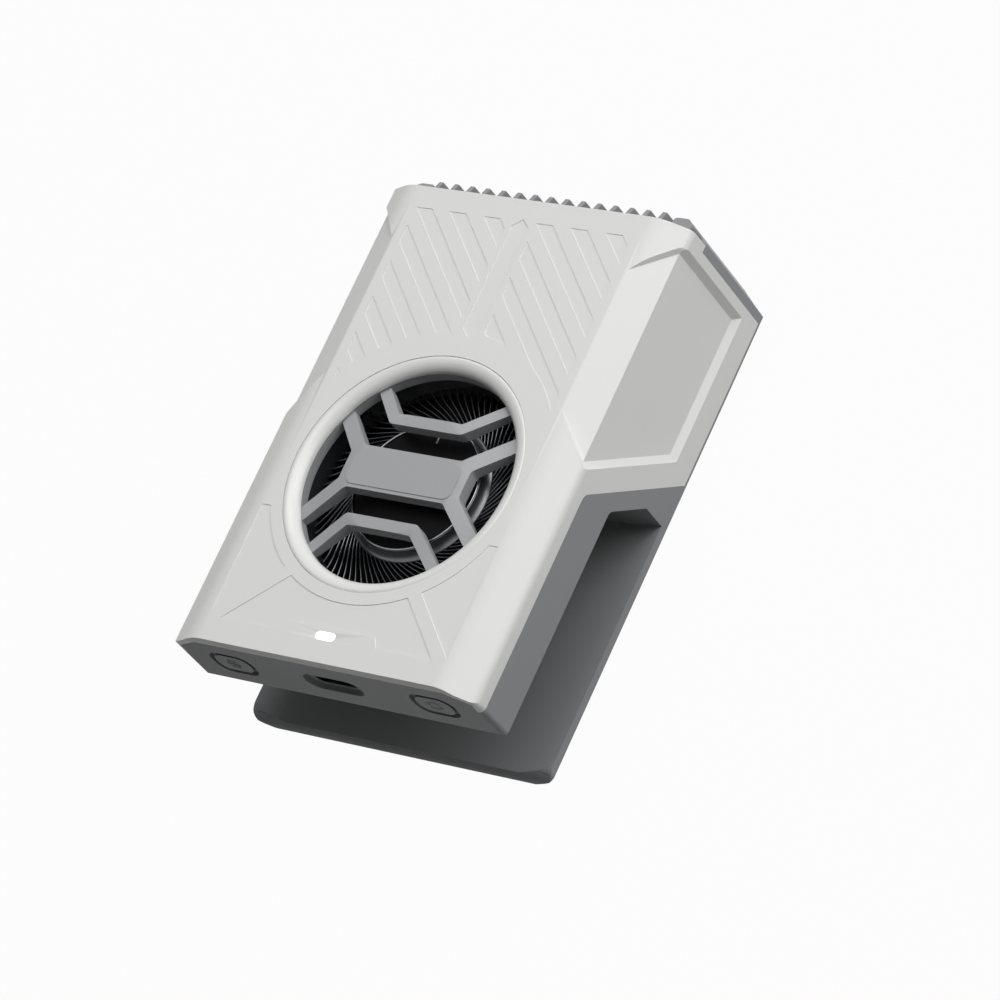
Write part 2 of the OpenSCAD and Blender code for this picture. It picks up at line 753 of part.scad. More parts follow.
// grey vent end: rails, wedge fins and an end rib on each side
module vent_grille() {
    in_x = half_w - side_t;
    low_y = cover_l - 2.5;
    rib_z = fin_z - 0.9;
    opening_x = (fin_n + 1) / 2 * fin_pitch - rib_w;
    color([0.5, 0.51, 0.52]) centred() {
        difference() {
            union() {
                intersection() {
                    block([-in_x, low_y, jaw_t], [in_x, cover_l, front_in_z]);
                    along_y(0, far) cover_inside(side_t, front_t);
                }
                intersection() {
                    along_x(-half_w, half_w) fin_profile(rib_z);
                    both_sides() {
                        translate([0, 0, jaw_t]) linear_extrude(rib_z - jaw_t) intersection() {
                            end_rib();
                            square([in_x, far]);
                        }
                        translate([0, 0, jaw_t]) linear_extrude(notch_z - jaw_t) intersection() {
                            end_rib();
                            translate([0, cover_l - notch_t]) square([half_w, far]);
                        }
                    }
                }
            }
            block([-opening_x, low_y - 1, fin_z0], [opening_x, far, fin_z]);
            block([-opening_x, cover_l - 0.1, jaw_t - 1], [opening_x, far, far]);
        }
        intersection() {
            along_x(-half_w, half_w) fin_profile(fin_z);
            translate([0, 0, fin_z0]) linear_extrude(fin_z - fin_z0)
                for (i = [0:fin_n - 1]) translate([(i - (fin_n - 1) / 2) * fin_pitch, 0]) fin_wedge();
        }
    }
}

// angle of a blade's middle line at radius r
function blade_angle(r) =
    let (k = (r - hub_foot_r) / (blade_r - hub_foot_r))
    blade_sweep * k * (1 + blade_ease - blade_ease * k);

// one side of a blade that starts at angle a, as points at the radii rs
function blade_side(a, side, rs) =
    [for (r = rs)
        let (turn = r * (blade_angle(r + 0.05) - blade_angle(r - 0.05)) / 0.1 * PI / 180,
            t = a + blade_angle(r) + side * blade_t / 2 * norm([1, turn]) / r * 180 / PI)
        r * [cos(t), sin(t)]];

// all blades as one closed path that runs out and back along each of them
module blade_outline() {
    steps = 6;
    span = blade_r - hub_foot_r;
    out = [for (i = [0:steps]) hub_foot_r + span * i / steps];
    back = [for (i = [0:steps]) blade_r - span * i / steps];
    polygon([for (i = [0:blade_n - 1])
        for (p = concat(blade_side(i * 360 / blade_n, -1, out),
            blade_side(i * 360 / blade_n, 1, back))) p]);
}

// black impeller: hub with a rim bead, a thin disc and many backswept blades
module impeller() {
    dish_z = hub_top_z - 0.2;
    disc_top = disc_z + disc_t;
    disc_r = blade_r + 0.15;
    color([0.1, 0.1, 0.11]) centred() at_fan() {
        rotate_extrude($fn = 96) polygon([[0, cup_top_z], [cup_r, cup_top_z], [cup_r, disc_z],
            [disc_r, disc_z], [disc_r, disc_top], [hub_foot_r + 0.1, disc_top],
            [hub_foot_r + 0.1, blade_top_z + slack], [hub_r + 0.1, hub_top_z - 0.1],
            [hub_r, hub_top_z], [hub_r - 0.3, hub_top_z], [hub_r - 0.5, dish_z], [0, dish_z]]);
        translate([0, 0, disc_top - slack]) linear_extrude(blade_top_z - disc_top + slack)
            difference() {
                blade_outline();
                circle(hub_foot_r - 0.3);
            }
    }
}

// steel cup pressed into the hub, with a hole for the shaft
module rotor_cup() {
    color([0.6, 0.6, 0.62]) centred() at_fan() rotate_extrude() polygon([
        [shaft_r, cup_top_z - cup_t], [cup_r - cup_wall_t, cup_top_z - cup_t],
        [cup_r - cup_wall_t, cup_z], [cup_r, cup_z], [cup_r, cup_top_z],
        [shaft_r, cup_top_z]]);
}

module rotor_magnet() {
    out = cup_r - cup_wall_t;
    color([0.2, 0.2, 0.21]) centred() at_fan() rotate_extrude() polygon([
        [out - magnet_t, cup_z], [out, cup_z], [out, cup_top_z - cup_t],
        [out - magnet_t, cup_top_z - cup_t]]);
}

module motor_shaft() {
    color([0.75, 0.75, 0.77]) centred() at_fan(base_z + 0.2)
        cylinder(r = shaft_r, h = cup_top_z - base_z - 0.2);
}

module shaft_bearing() {
    color([0.72, 0.6, 0.3]) centred() at_fan(base_z) difference() {
        cylinder(r = bearing_r, h = bearing_top_z - base_z);
        translate([0, 0, -1]) cylinder(r = shaft_r + shaft_clear, h = far);
    }
}

stator_z0 = motor_z + motor_board_t + 0.3;
stator_z1 = bearing_top_z;
stator_n = 9;
tooth_w = 1.1;
coil_w = 2.1;
coil_r0 = 4.7;
coil_r1 = stator_r - 1.2;

// laminated core: a hub ring with nine teeth that end in pole shoes
module stator_core() {
    z0 = stator_z0 + 0.4;
    z1 = stator_z1 - 0.4;
    color([0.55, 0.55, 0.57]) centred() at_fan(z0) linear_extrude(z1 - z0) difference() {
        union() {
            circle(tower_r + 1.2);
            for (i = [0:stator_n - 1]) rotate(i * 360 / stator_n)
                translate([tower_r + 0.5, -tooth_w / 2])
                    square([stator_r - tower_r - 0.8, tooth_w]);
            intersection() {
                difference() {
                    circle(stator_r);
                    circle(stator_r - 0.8);
                }
                for (i = [0:stator_n - 1]) rotate(i * 360 / stator_n)
                    translate([0, -2.2]) square([stator_r + 1, 4.4]);
            }
        }
        circle(tower_r);
    }
}

// copper coil round each tooth
module stator_windings() {
    color([0.75, 0.42, 0.2]) centred() at_fan() for (i = [0:stator_n - 1])
        rotate(i * 360 / stator_n) difference() {
            block([coil_r0, -coil_w / 2, stator_z0], [coil_r1, coil_w / 2, stator_z1]);
            block([0, -tooth_w / 2, stator_z0 + 0.4], [far, tooth_w / 2, stator_z1 - 0.4]);
        }
}

module motor_board() {
    color([0.1, 0.35, 0.2]) centred() at_fan(motor_z) difference() {
        cylinder(r = cup_r - 0.4, h = motor_board_t);
        translate([0, 0, -1]) cylinder(r = tower_r, h = 3);
    }
}

// black base plate with the tower that holds the bearing and carries the stator
module fan_base() {
    color([0.14, 0.14, 0.15]) centred() at_fan(base_z) difference() {
        union() {
            cylinder(r = duct_r + duct_t, h = base_t);
            cylinder(r = tower_r, h = bearing_top_z - base_z);
            for (a = fan_screw_angles) rotate(a) translate([fan_screw_r, 0, 0])
                cylinder(r = ear_r, h = base_t);
        }
        translate([0, 0, -1]) cylinder(r = bearing_r, h = far);
        for (a = fan_screw_angles) rotate(a) translate([fan_screw_r, 0, -1])
            cylinder(r = screw_r + slack, h = 3);
        block([-ribbon_w / 2 - 0.1, -far, ribbon_z - base_z],
            [ribbon_w / 2 + 0.1, 0.5 - stator_r, base_t + 1]);
    }
}

// wall round the impeller, open towards the vent, seated on the fan base
module air_duct() {
    mouth_w = 2 * duct_r - 4;
    color([0.13, 0.13, 0.14]) centred() difference() {
        at_fan(motor_z) cylinder(r = duct_r + duct_t, h = ring_z - motor_z);
        at_fan(motor_z - 1) cylinder(r = duct_r, h = far);
        translate([-mouth_w / 2, fan_y, motor_z - 1]) cube([mouth_w, far, far]);
    }
}

// aluminium base plate between the Peltier module and the fan
module heat_sink() {
    color([0.72, 0.73, 0.74]) centred() difference() {
        block([-sink_w / 2, sink_y0, sink_z], [sink_w / 2, sink_fin_y0, base_z]);
        for (a = fan_screw_angles) at_fan(sink_z - 1) rotate(a) translate([fan_screw_r, 0, 0])
            cylinder(r = screw_r, h = 4);
    }
}

// stack of fins in the vent duct, brazed to the base plate by its web
module fin_stack() {
    fin_low = jaw_t + sink_clear;
    fin_high = front_in_z - sink_clear - 0.5;
    color([0.75, 0.76, 0.77]) centred() {
        block([-sink_fin_w / 2, sink_fin_y0, sink_z], [sink_fin_w / 2, sink_y1, base_z]);
        for (i = [0:sink_fin_n - 1]) {
            x = (i / (sink_fin_n - 1) - 0.5) * (sink_fin_w - sink_fin_t);
            block([x - sink_fin_t / 2, sink_fin_y0, fin_low],
                [x + sink_fin_t / 2, sink_y1, fin_high]);
        }
    }
}

module insulation_frame() {
    edge = 2.6;
    color([0.9, 0.9, 0.88]) centred() difference() {
        block([-peltier_w / 2 - edge, stack_y - peltier_w / 2 - 0.5 * edge, peltier_z],
            [peltier_w / 2 + edge, stack_y + peltier_w / 2 + edge, sink_z]);
        block([-peltier_w / 2 - slack, stack_y - peltier_w / 2 - slack, peltier_z - 1],
            [peltier_w / 2 + slack, stack_y + peltier_w / 2 + slack, sink_z + 1]);
        for (s = [-1, 1]) translate([s * lead_x, 0, lead_z]) rotate([-90, 0, 0])
            cylinder(r = lead_r + 0.1, h = stack_y);
    }
}

// ceramic plates with the semiconductor legs between them
module peltier_module() {
    plate_t = 0.5;
    legs = 7;
    leg_w = 2;
    pitch = (peltier_w - 2) / (legs - 1) - 0.35;
    low = stack_y - peltier_w / 2;
    color([0.92, 0.92, 0.9]) centred() {
        block([-peltier_w / 2, low, peltier_z], [peltier_w / 2, low + peltier_w, peltier_z + plate_t]);
        block([-peltier_w / 2, low, sink_z - plate_t], [peltier_w / 2, low + peltier_w, sink_z]);
        for (i = [0:legs - 1], j = [0:legs - 1])
            translate([(i - (legs - 1) / 2) * pitch, stack_y + (j - (legs - 1) / 2) * pitch,
                peltier_z + peltier_t / 2])
                cube([leg_w, leg_w, peltier_t - plate_t], center = true);
    }
}

// aluminium plate: flange on the tray floor and face that stands into the slot
module cold_plate() {
    color([0.78, 0.79, 0.8]) centred() {
        block([-flange_w / 2, stack_y - flange_l / 2, floor_z],
            [flange_w / 2, stack_y + flange_l / 2, peltier_z]);
        block([-window_w / 2 + slack, stack_y - window_l / 2 + slack, plate_z],
            [window_w / 2 - slack, stack_y + window_l / 2 - slack, floor_z + slack]);
    }
}

// soft frame round the cold plate on the slot side of the tray
module grip_pad() {
    color([0.2, 0.2, 0.21]) centred() translate([0, stack_y, slot_z - pad_t])
        linear_extrude(pad_t) difference() {
            round_rect(pad_w, pad_l, 2);
            square([window_w + 2 * slack, window_l + 2 * slack], center = true);
        }
}

// soft ribbed pad on the inside of the jaw
module jaw_pad() {
    w = 34;
    l = 30;
    rib_pitch = 3;
    color([0.22, 0.22, 0.23]) centred() translate([0, stack_y, jaw_t]) {
        linear_extrude(jaw_pad_t - 0.4) round_rect(w, l, 3);
        for (i = [-4:4]) translate([-w / 2 + 3, i * rib_pitch - 0.6, 0])
            cube([w - 6, 1.2, jaw_pad_t]);
    }
}

// board over the socket and switches, screwed to the frame's posts
module circuit_board() {
    color([0.08, 0.3, 0.18]) centred() difference() {
        block([-board_w / 2, board_y0, board_z], [board_w / 2, board_y1, board_z + board_t]);
        for (s = [-1, 1]) translate([s * post_x, post_y, board_z - 1])
            cylinder(r = screw_r + slack, h = 4);
    }
}

module usb_socket() {
    wall = 0.3;
    color([0.7, 0.7, 0.72]) centred() translate([0, 0, usb_z]) difference() {
        along_y(port_recess_t, port_recess_t + usb_l) pill(usb_w, usb_h);
        along_y(0, port_recess_t + usb_l - wall) pill(usb_w - 2 * wall, usb_h - 2 * wall);
    }
}

// plastic insert of the socket with its contact tongue
module usb_tongue() {
    back = port_recess_t + usb_l - 0.3;
    color([0.12, 0.12, 0.13]) centred() translate([0, 0, usb_z]) {
        along_y(port_recess_t + 0.8, back - 1.5 + slack) square([6.7, 0.7], center = true);
        along_y(back - 1.5, back) pill(usb_w - 0.6, usb_h - 0.6);
    }
}

// push button: face, flange behind the wall and stem
module button(x) {
    flange_w = button_w + 2 * button_flange_edge;
    flange_h = button_h + 2 * button_flange_edge - 0.3;
    translate([x, 0, usb_z]) {
        along_y(0.05, end_t + 0.1) round_rect(button_w, button_h, button_h / 2 - 0.2);
        along_y(end_t + slack, end_t + button_flange_t)
            round_rect(flange_w, flange_h, flange_h / 2 - 0.2);
    }
}

module cooling_button() {
    color([0.5, 0.51, 0.52]) centred() button(-button_x);
}

module mode_button() {
    color([0.5, 0.51, 0.52]) centred() button(button_x);
}

plunger_w = 1.6;
plunger_h = 1.2;
plunger_l = 2.3;
switch_w = 4.4;
switch_l = 3.4;
switch_h = 3;

// plunger that moves with the button into the switch
module plunger(x) {
    y0 = end_t + button_flange_t;
    block([x - plunger_w / 2, y0, usb_z - plunger_h / 2],
        [x + plunger_w / 2, y0 + plunger_l, usb_z + plunger_h / 2]);
}

module cooling_plunger() {
    color([0.85, 0.85, 0.8]) centred() plunger(-button_x);
}

module mode_plunger() {
    color([0.85, 0.85, 0.8]) centred() plunger(button_x);
}

// side switch under the board with a well for the plunger
module side_switch(x) {
    well = 0.1;
    difference() {
        block([x - switch_w / 2, switch_y, board_z - switch_h],
            [x + switch_w / 2, switch_y + switch_l, board_z]);
        block([x - plunger_w / 2 - well, switch_y - 1, usb_z - plunger_h / 2 - well],
            [x + plunger_w / 2 + well, end_t + button_flange_t + plunger_l + button_travel + 0.2,
            usb_z + plunger_h / 2 + well]);
    }
}

module cooling_switch() {
    color([0.15, 0.15, 0.16]) centred() side_switch(-button_x);
}

module mode_switch() {
    color([0.15, 0.15, 0.16]) centred() side_switch(button_x);
}

// clear pill in the front with a flange under the cover
module status_lens() {
    color([0.98, 0.98, 0.98]) centred() translate([0, lens_y, 0]) {
        translate([0, 0, front_in_z - slack]) linear_extrude(front_t + slack)
            pill(lens_w, lens_h);
        translate([0, 0, front_in_z - 1.2]) linear_extrude(1.2) pill(lens_w + 1.2, lens_h + 1.2);
    }
}

module status_led() {
    led_z = board_z + board_t;
    color([0.95, 0.93, 0.75]) centred()
        block([-1.5, lens_y - 0.6, led_z], [1.5, lens_y + 0.6, led_z + 0.7]);
}

// screw with a flat head below and its thread along +Z
module screw(l) {
    cylinder(r = screw_r, h = l);
    cylinder(r = screw_head_r, h = screw_head_t);
}

module cover_screws() {
    color([0.35, 0.35, 0.37]) centred() for (x = [-boss_x, boss_x], y = boss_ys)
        translate([x, y, slot_z + screw_sunk]) screw(floor_t - screw_sunk + boss_hole_l - 0.6);
}

module board_screws() {
    color([0.7, 0.7, 0.72]) centred() for (s = [-1, 1])
        translate([s * post_x, post_y, board_z + board_t + screw_head_t]) mirror([0, 0, 1])
            screw(screw_head_t + board_t + post_hole_l - 1);
}

module fan_screws() {
    head_z = motor_z + screw_head_t;
    color([0.7, 0.7, 0.72]) centred() for (a = fan_screw_angles) at_fan(head_z)
        rotate(a) translate([fan_screw_r, 0, 0]) mirror([0, 0, 1]) screw(head_z - sink_z - 0.1);
}

lead_r = 0.5;
lead_x = 8;
lead_z = peltier_z + peltier_t / 2 + 0.2;
lead_bend_r = 1.2;
lead_y = 7.8;

// two leads from the Peltier module, bent up to the board
module module_leads() {
    low = stack_y - peltier_w / 2;
    color([0.7, 0.12, 0.1]) centred() for (s = [-1, 1]) translate([s * lead_x, 0, 0]) {
        translate([0, lead_y + lead_bend_r, lead_z]) rotate([-90, 0, 0])
            cylinder(r = lead_r, h = low - lead_y - lead_bend_r);
        translate([0, lead_y + lead_bend_r, lead_z + lead_bend_r]) rotate([0, 90, 0])
            rotate([0, 0, 180]) rotate_extrude(angle = 90) translate([lead_bend_r, 0]) circle(lead_r);
        translate([0, lead_y, lead_z + lead_bend_r])
            cylinder(r = lead_r, h = board_z - lead_z - lead_bend_r);
    }
}

// flat ribbon from the motor board under the duct and up to the circuit board
module fan_ribbon() {
    y0 = board_y1 + 0.5;
    y1 = fan_y - stator_r;
    color([0.75, 0.5, 0.15]) centred() {
        block([-ribbon_w / 2, y0, ribbon_z], [ribbon_w / 2, y1, motor_z]);
        block([-ribbon_w / 2, y0, ribbon_z], [ribbon_w / 2, y0 + ribbon_t, board_z + board_t]);
        block([-ribbon_w / 2, y0 - 1.5, board_z + board_t],
            [ribbon_w / 2, y0 + ribbon_t, board_z + board_t + ribbon_t]);
    }
}

clip_frame();
front_cover();
fan_bezel();
fan_grille();
vent_grille();
impeller();
rotor_cup();
rotor_magnet();
motor_shaft();
shaft_bearing();
stator_core();
stator_windings();
motor_board();
fan_base();
air_duct();
heat_sink();
fin_stack();
insulation_frame();
peltier_module();
cold_plate();
grip_pad();
jaw_pad();
circuit_board();
usb_socket();
usb_tongue();
cooling_button();
mode_button();
cooling_plunger();
mode_plunger();
cooling_switch();
mode_switch();
status_lens();
status_led();
cover_screws();
board_screws();
fan_screws();
module_leads();
fan_ribbon();
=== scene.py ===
import math
import bpy
import bmesh
from mathutils import Matrix, Vector
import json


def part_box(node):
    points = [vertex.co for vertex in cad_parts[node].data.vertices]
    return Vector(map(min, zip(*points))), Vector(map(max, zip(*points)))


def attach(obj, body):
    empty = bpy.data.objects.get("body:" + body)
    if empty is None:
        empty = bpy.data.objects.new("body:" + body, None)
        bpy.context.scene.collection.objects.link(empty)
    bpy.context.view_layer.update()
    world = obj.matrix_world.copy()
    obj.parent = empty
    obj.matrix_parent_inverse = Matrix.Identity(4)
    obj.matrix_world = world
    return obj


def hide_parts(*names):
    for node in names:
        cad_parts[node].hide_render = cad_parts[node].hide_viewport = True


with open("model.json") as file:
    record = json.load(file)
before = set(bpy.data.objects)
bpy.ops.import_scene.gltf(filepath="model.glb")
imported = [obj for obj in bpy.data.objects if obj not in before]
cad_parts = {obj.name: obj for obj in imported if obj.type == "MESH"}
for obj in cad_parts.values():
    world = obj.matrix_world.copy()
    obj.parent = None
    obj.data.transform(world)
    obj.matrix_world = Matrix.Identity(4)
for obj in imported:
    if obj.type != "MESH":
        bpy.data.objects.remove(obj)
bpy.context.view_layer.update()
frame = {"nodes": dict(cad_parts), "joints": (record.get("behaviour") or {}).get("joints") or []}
print("frame loaded:", len(frame["nodes"]), "CAD nodes")


class Field:
    # one socket of a shader tree that can be used in a Python expression
    def __init__(self, tree, socket):
        self.tree = tree
        self.socket = socket

    def math(self, operation, first, second):
        node = self.tree.nodes.new("ShaderNodeMath")
        node.operation = operation
        for socket, value in zip(node.inputs, (first, second)):
            if isinstance(value, Field):
                self.tree.links.new(value.socket, socket)
            else:
                socket.default_value = value
        return Field(self.tree, node.outputs[0])

    def __add__(self, other): return self.math("ADD", self, other)
    def __radd__(self, other): return self.math("ADD", other, self)
    def __sub__(self, other): return self.math("SUBTRACT", self, other)
    def __rsub__(self, other): return self.math("SUBTRACT", other, self)
    def __mul__(self, other): return self.math("MULTIPLY", self, other)
    def __rmul__(self, other): return self.math("MULTIPLY", other, self)

    def clamped(self):
        held = self.math("ADD", self, 0.0)
        held.socket.node.use_clamp = True
        return held


def makeNode(tree, kind, settings, values):
    # settings are set first; i0, i6 and such name a socket by its place
    made = tree.nodes.new(kind)
    for key, value in (settings or {}).items():
        setattr(made, key, value)
    for key, value in values.items():
        byPlace = key[0] == "i" and key[1:].isdigit()
        socket = made.inputs[int(key[1:]) if byPlace else key.replace("_", " ")]
        if isinstance(value, Field):
            tree.links.new(value.socket, socket)
        elif isinstance(value, bpy.types.NodeSocket):
            tree.links.new(value, socket)
        else:
            socket.default_value = value
    return made


class Shading:
    # the shader tree of a material or of the world
    def __init__(self, owner):
        owner.use_nodes = True
        self.tree = owner.node_tree
        self.tree.nodes.clear()

    def node(self, kind, output=0, settings=None, **values):
        made = makeNode(self.tree, "ShaderNode" + kind, settings, values)
        return Field(self.tree, made.outputs[output])

    def close(self, kind, surface):
        return makeNode(self.tree, "ShaderNode" + kind, None, {"Surface": surface})


class Finish(Shading):
    # a material with a Principled shader whose constants sit on its own sockets
    def __init__(self, name, color, roughness=0.5, **constants):
        self.material = bpy.data.materials.new(name)
        super().__init__(self.material)
        self.shader = self.node("BsdfPrincipled", 0, None, Base_Color=(*color, 1), Roughness=roughness, **constants)
        self.output = self.close("OutputMaterial", self.shader)
        self.material.diffuse_color = (*color, 1)

    def place(self):
        return self.node("TexCoord", "Object")

    def noise(self, scale, detail=3.0, roughness=0.5, vector=None):
        return self.node("TexNoise", "Fac", None, Vector=vector or self.place(), Scale=scale, Detail=detail,
                         Roughness=roughness)

    def mix(self, factor, first, second):
        # places 6 and 7 are the colour inputs of a Mix node
        return self.node("Mix", 2, {"data_type": "RGBA"}, i0=factor, i6=(*first, 1), i7=(*second, 1))

    def feed(self, socketName, field):
        self.tree.links.new(field.socket, self.shader.socket.node.inputs[socketName])
        return self

    def bump(self, height, strength, distance):
        return self.feed("Normal", self.node("Bump", 0, None, Strength=strength, Distance=distance, Height=height))


def linear(*srgb):
    # colour picked as 0..255 turned into scene values
    return tuple(((v / 255 + 0.055) / 1.055) ** 2.4 if v > 10 else v / 255 / 12.92 for v in srgb)


mouldedLook = {"grainScale": 5200, "grainHeight": 0.000012, "grainShare": 0.25, "grainGloss": 0.08, "cloudScale": 90,
               "cloudShare": 0.75, "cloudGloss": 0.12, "falloff": 0.6}


def mouldedPlastic(name, color, roughness, spread=0.03, grain=0.25, **constants):
    # spark-eroded satin plastic: fine grain, faint clouds in colour and gloss
    look = mouldedLook
    finish = Finish(name, color, roughness, **constants)
    clouds = finish.noise(look["cloudScale"], 4, look["falloff"])
    grainField = finish.noise(look["grainScale"], 2, look["falloff"])
    light = tuple(min(1, c * (1 + spread)) for c in color)
    dark = tuple(c * (1 - spread) for c in color)
    share = (clouds * look["cloudShare"] + grainField * look["grainShare"]).clamped()
    finish.feed("Base Color", finish.mix(share, dark, light))
    finish.feed("Roughness", (clouds - 0.5) * look["cloudGloss"] + (grainField - 0.5) * look["grainGloss"] + roughness)
    return finish.bump(grainField, grain, look["grainHeight"])


whiteShell = mouldedPlastic("whiteShellSatin", linear(223, 223, 221), 0.5, 0.012, 0.2, Specular_IOR_Level=0.3)
whiteRing = mouldedPlastic("whiteRingPolished", linear(224, 224, 222), 0.3, 0.008, 0.1, Specular_IOR_Level=0.4,
                           Coat_Weight=0.2)
greyFrame = mouldedPlastic("greyFrameSatin", linear(143, 144, 146), 0.55, 0.03, 0.3, Specular_IOR_Level=0.12)
greyVent = mouldedPlastic("greyVentSatin", linear(140, 141, 143), 0.5, 0.03, 0.25, Specular_IOR_Level=0.3)
greyGrille = mouldedPlastic("greyGrilleSatin", linear(163, 164, 166), 0.4, 0.02, 0.18, Specular_IOR_Level=0.35)
blackImpeller = mouldedPlastic("blackImpellerGloss", linear(12, 12, 13), 0.5, 0.1, 0.15, Specular_IOR_Level=0.08)
bladeGloss = mouldedPlastic("impellerBladeGloss", linear(96, 97, 100), 0.22, 0.1, 0.1, Metallic=0.95,
                            Specular_IOR_Level=0.5)
beadGloss = mouldedPlastic("hubBeadGloss", linear(170, 171, 174), 0.24, 0.05, 0.05, Metallic=1.0)
collarGrey = mouldedPlastic("hubCollarSatin", linear(116, 117, 120), 0.42, 0.06, 0.15, Metallic=0.9)
darkPlastic = mouldedPlastic("darkFanHousing", linear(44, 45, 47), 0.55, 0.08, 0.3)
keyPlastic = mouldedPlastic("greyKeySatin", linear(98, 99, 101), 0.5, 0.03, 0.2, Specular_IOR_Level=0.2)
iconInk = mouldedPlastic("keyIconInk", linear(22, 23, 25), 0.6, 0.05, 0.1)
# light marks on the hub cap are painted highlights, not print
paintedHighlightTick = mouldedPlastic("hubTickPaintedHighlight", linear(188, 190, 192), 0.5, 0.03, 0.1)


brushedLook = {"lineShare": 0.6, "lineGloss": 0.25, "lineBump": 0.15, "lineHeight": 0.000008, "lineFalloff": 0.7,
               "hazeScale": 160, "hazeShare": 0.4, "hazeGloss": 0.1, "darkest": 0.86}


def brushedMetal(name, color, roughness, stretch):
    # fine lines along one way, as rolled or turned stock has
    look = brushedLook
    finish = Finish(name, color, roughness, Metallic=1.0)
    stretched = finish.node("Mapping", 0, None, Vector=finish.place(), Scale=stretch)
    lines = finish.noise(1, 4, look["lineFalloff"], stretched)
    haze = finish.noise(look["hazeScale"], 3)
    share = (lines * look["lineShare"] + haze * look["hazeShare"]).clamped()
    finish.feed("Base Color", finish.mix(share, tuple(c * look["darkest"] for c in color), color))
    finish.feed("Roughness", (lines - 0.5) * look["lineGloss"] + (haze - 0.5) * look["hazeGloss"] + roughness)
    return finish.bump(lines, look["lineBump"], look["lineHeight"])


sinkAluminium = brushedMetal("sinkAluminium", linear(196, 198, 201), 0.38, (400, 9000, 400))
plateAluminium = brushedMetal("coldPlateBrushed", linear(205, 207, 210), 0.3, (300, 12000, 300))
platedSteel = brushedMetal("platedSteel", linear(178, 180, 184), 0.3, (6000, 300, 300))
goldPin = brushedMetal("goldContact", linear(226, 176, 88), 0.25, (900, 9000, 900))
bronze = brushedMetal("sinteredBronze", linear(176, 134, 74), 0.5, (2500, 2500, 2500))
# the inlet's steel shell is given a dark colour as painted shade, so the mouth of the socket reads as a black, shaded
# hole
paintedShadeSocketSteel = brushedMetal("socketSteelPaintedShade", linear(58, 59, 61), 0.3, (6000, 300, 300))
darkScrew = brushedMetal("blackenedScrew", linear(70, 71, 74), 0.38, (3000, 3000, 600))

wireLook = {"turnScale": 1200, "waver": 0.4, "bump": 0.6, "turnHeight": 0.00006}
copperWire = Finish("enamelledCopper", linear(186, 104, 48), 0.3, Metallic=0.9)
copperTurns = copperWire.node("TexWave", "Fac", {"bands_direction": "Z"}, Vector=copperWire.place(),
                              Scale=wireLook["turnScale"], Distortion=wireLook["waver"], Detail=1)
copperWire.feed("Base Color", copperWire.mix(copperTurns, linear(120, 56, 22), linear(206, 124, 62)))
copperWire.bump(copperTurns, wireLook["bump"], wireLook["turnHeight"])


padLook = {"roughness": 0.78, "poreScale": 2600, "dustScale": 420, "dustFalloff": 0.65, "dustFrom": 0.45,
           "dustContrast": 2.2, "dustTint": 1.35, "dustLift": 0.01, "dustGloss": 0.15, "dustHeight": 0.4, "bump": 0.35,
           "poreDepth": 0.00002}


def siliconePad(name, color):
    # matt rubber with pores and a little dust in the colour
    look = padLook
    finish = Finish(name, color, look["roughness"], Specular_IOR_Level=0.3)
    pores = finish.node("TexVoronoi", "Distance", {"feature": "F1"}, Vector=finish.place(), Scale=look["poreScale"])
    dust = finish.noise(look["dustScale"], 5, look["dustFalloff"])
    dusty = tuple(c * look["dustTint"] + look["dustLift"] for c in color)
    share = ((dust - look["dustFrom"]) * look["dustContrast"]).clamped()
    finish.feed("Base Color", finish.mix(share, color, dusty))
    finish.feed("Roughness", (dust - 0.5) * look["dustGloss"] + look["roughness"])
    return finish.bump(pores + dust * look["dustHeight"], look["bump"], look["poreDepth"])


padRubber = siliconePad("padSilicone", linear(62, 64, 66))
foam = siliconePad("insulationFoam", linear(226, 225, 220))
leadRubber = siliconePad("leadInsulation", linear(168, 36, 30))


boardLook = {"rowShift": 0.35, "rowScale": 520.0, "trackWidth": 0.035, "trackRun": 0.8, "rowHeight": 0.3,
             "weaveScale": 900, "trackShare": 0.7, "weaveShare": 0.3, "bump": 0.3, "trackHeight": 0.00003}


def solderMask(name):
    # board lacquer with copper tracks that show as a lighter green
    look = boardLook
    finish = Finish(name, linear(18, 74, 44), 0.32, Coat_Weight=0.4)
    tracks = finish.node("TexBrick", "Fac", {"offset": look["rowShift"]}, Vector=finish.place(),
                         Scale=look["rowScale"], Mortar_Size=look["trackWidth"], Brick_Width=look["trackRun"],
                         Row_Height=look["rowHeight"])
    weave = finish.noise(look["weaveScale"], 2)
    share = (tracks * look["trackShare"] + weave * look["weaveShare"]).clamped()
    finish.feed("Base Color", finish.mix(share, linear(14, 62, 36), linear(42, 112, 66)))
    return finish.bump(tracks, look["bump"], look["trackHeight"])


boardGreen = solderMask("boardSolderMask")
ceramic = mouldedPlastic("firedCeramic", linear(232, 231, 226), 0.5, 0.02, 0.2)
ribbonFilm = mouldedPlastic("polyimideFilm", linear(186, 122, 40), 0.25, 0.08, 0.05, Coat_Weight=0.3)
magnetFinish = mouldedPlastic("bondedMagnet", linear(62, 62, 64), 0.6, 0.1, 0.4)
lensGlow = Finish("statusLensLit", (1, 1, 1), 0.25, Emission_Color=(1, 1, 1, 1), Emission_Strength=0.9)
lensClouds = lensGlow.noise(900, 2)
lensGlow.feed("Roughness", lensClouds * 0.1 + 0.2)
ledGlow = Finish("statusLightLit", (1, 0.97, 0.8), 0.3, Emission_Color=(1, 0.98, 0.9, 1), Emission_Strength=1.2)
print("finishes made:", len(bpy.data.materials))


def meshObject(name, mesh):
    piece = bpy.data.objects.new(name, mesh)
    bpy.context.scene.collection.objects.link(piece)
    return piece


def dress(piece, finish, body):
    piece.data.materials.clear()
    piece.data.materials.append(finish.material)
    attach(piece, body)
    return piece


softLook = {"mergeDistance": 1e-6, "flatAngle": 0.4, "flatWeight": 90, "flatThreshold": 0.001}


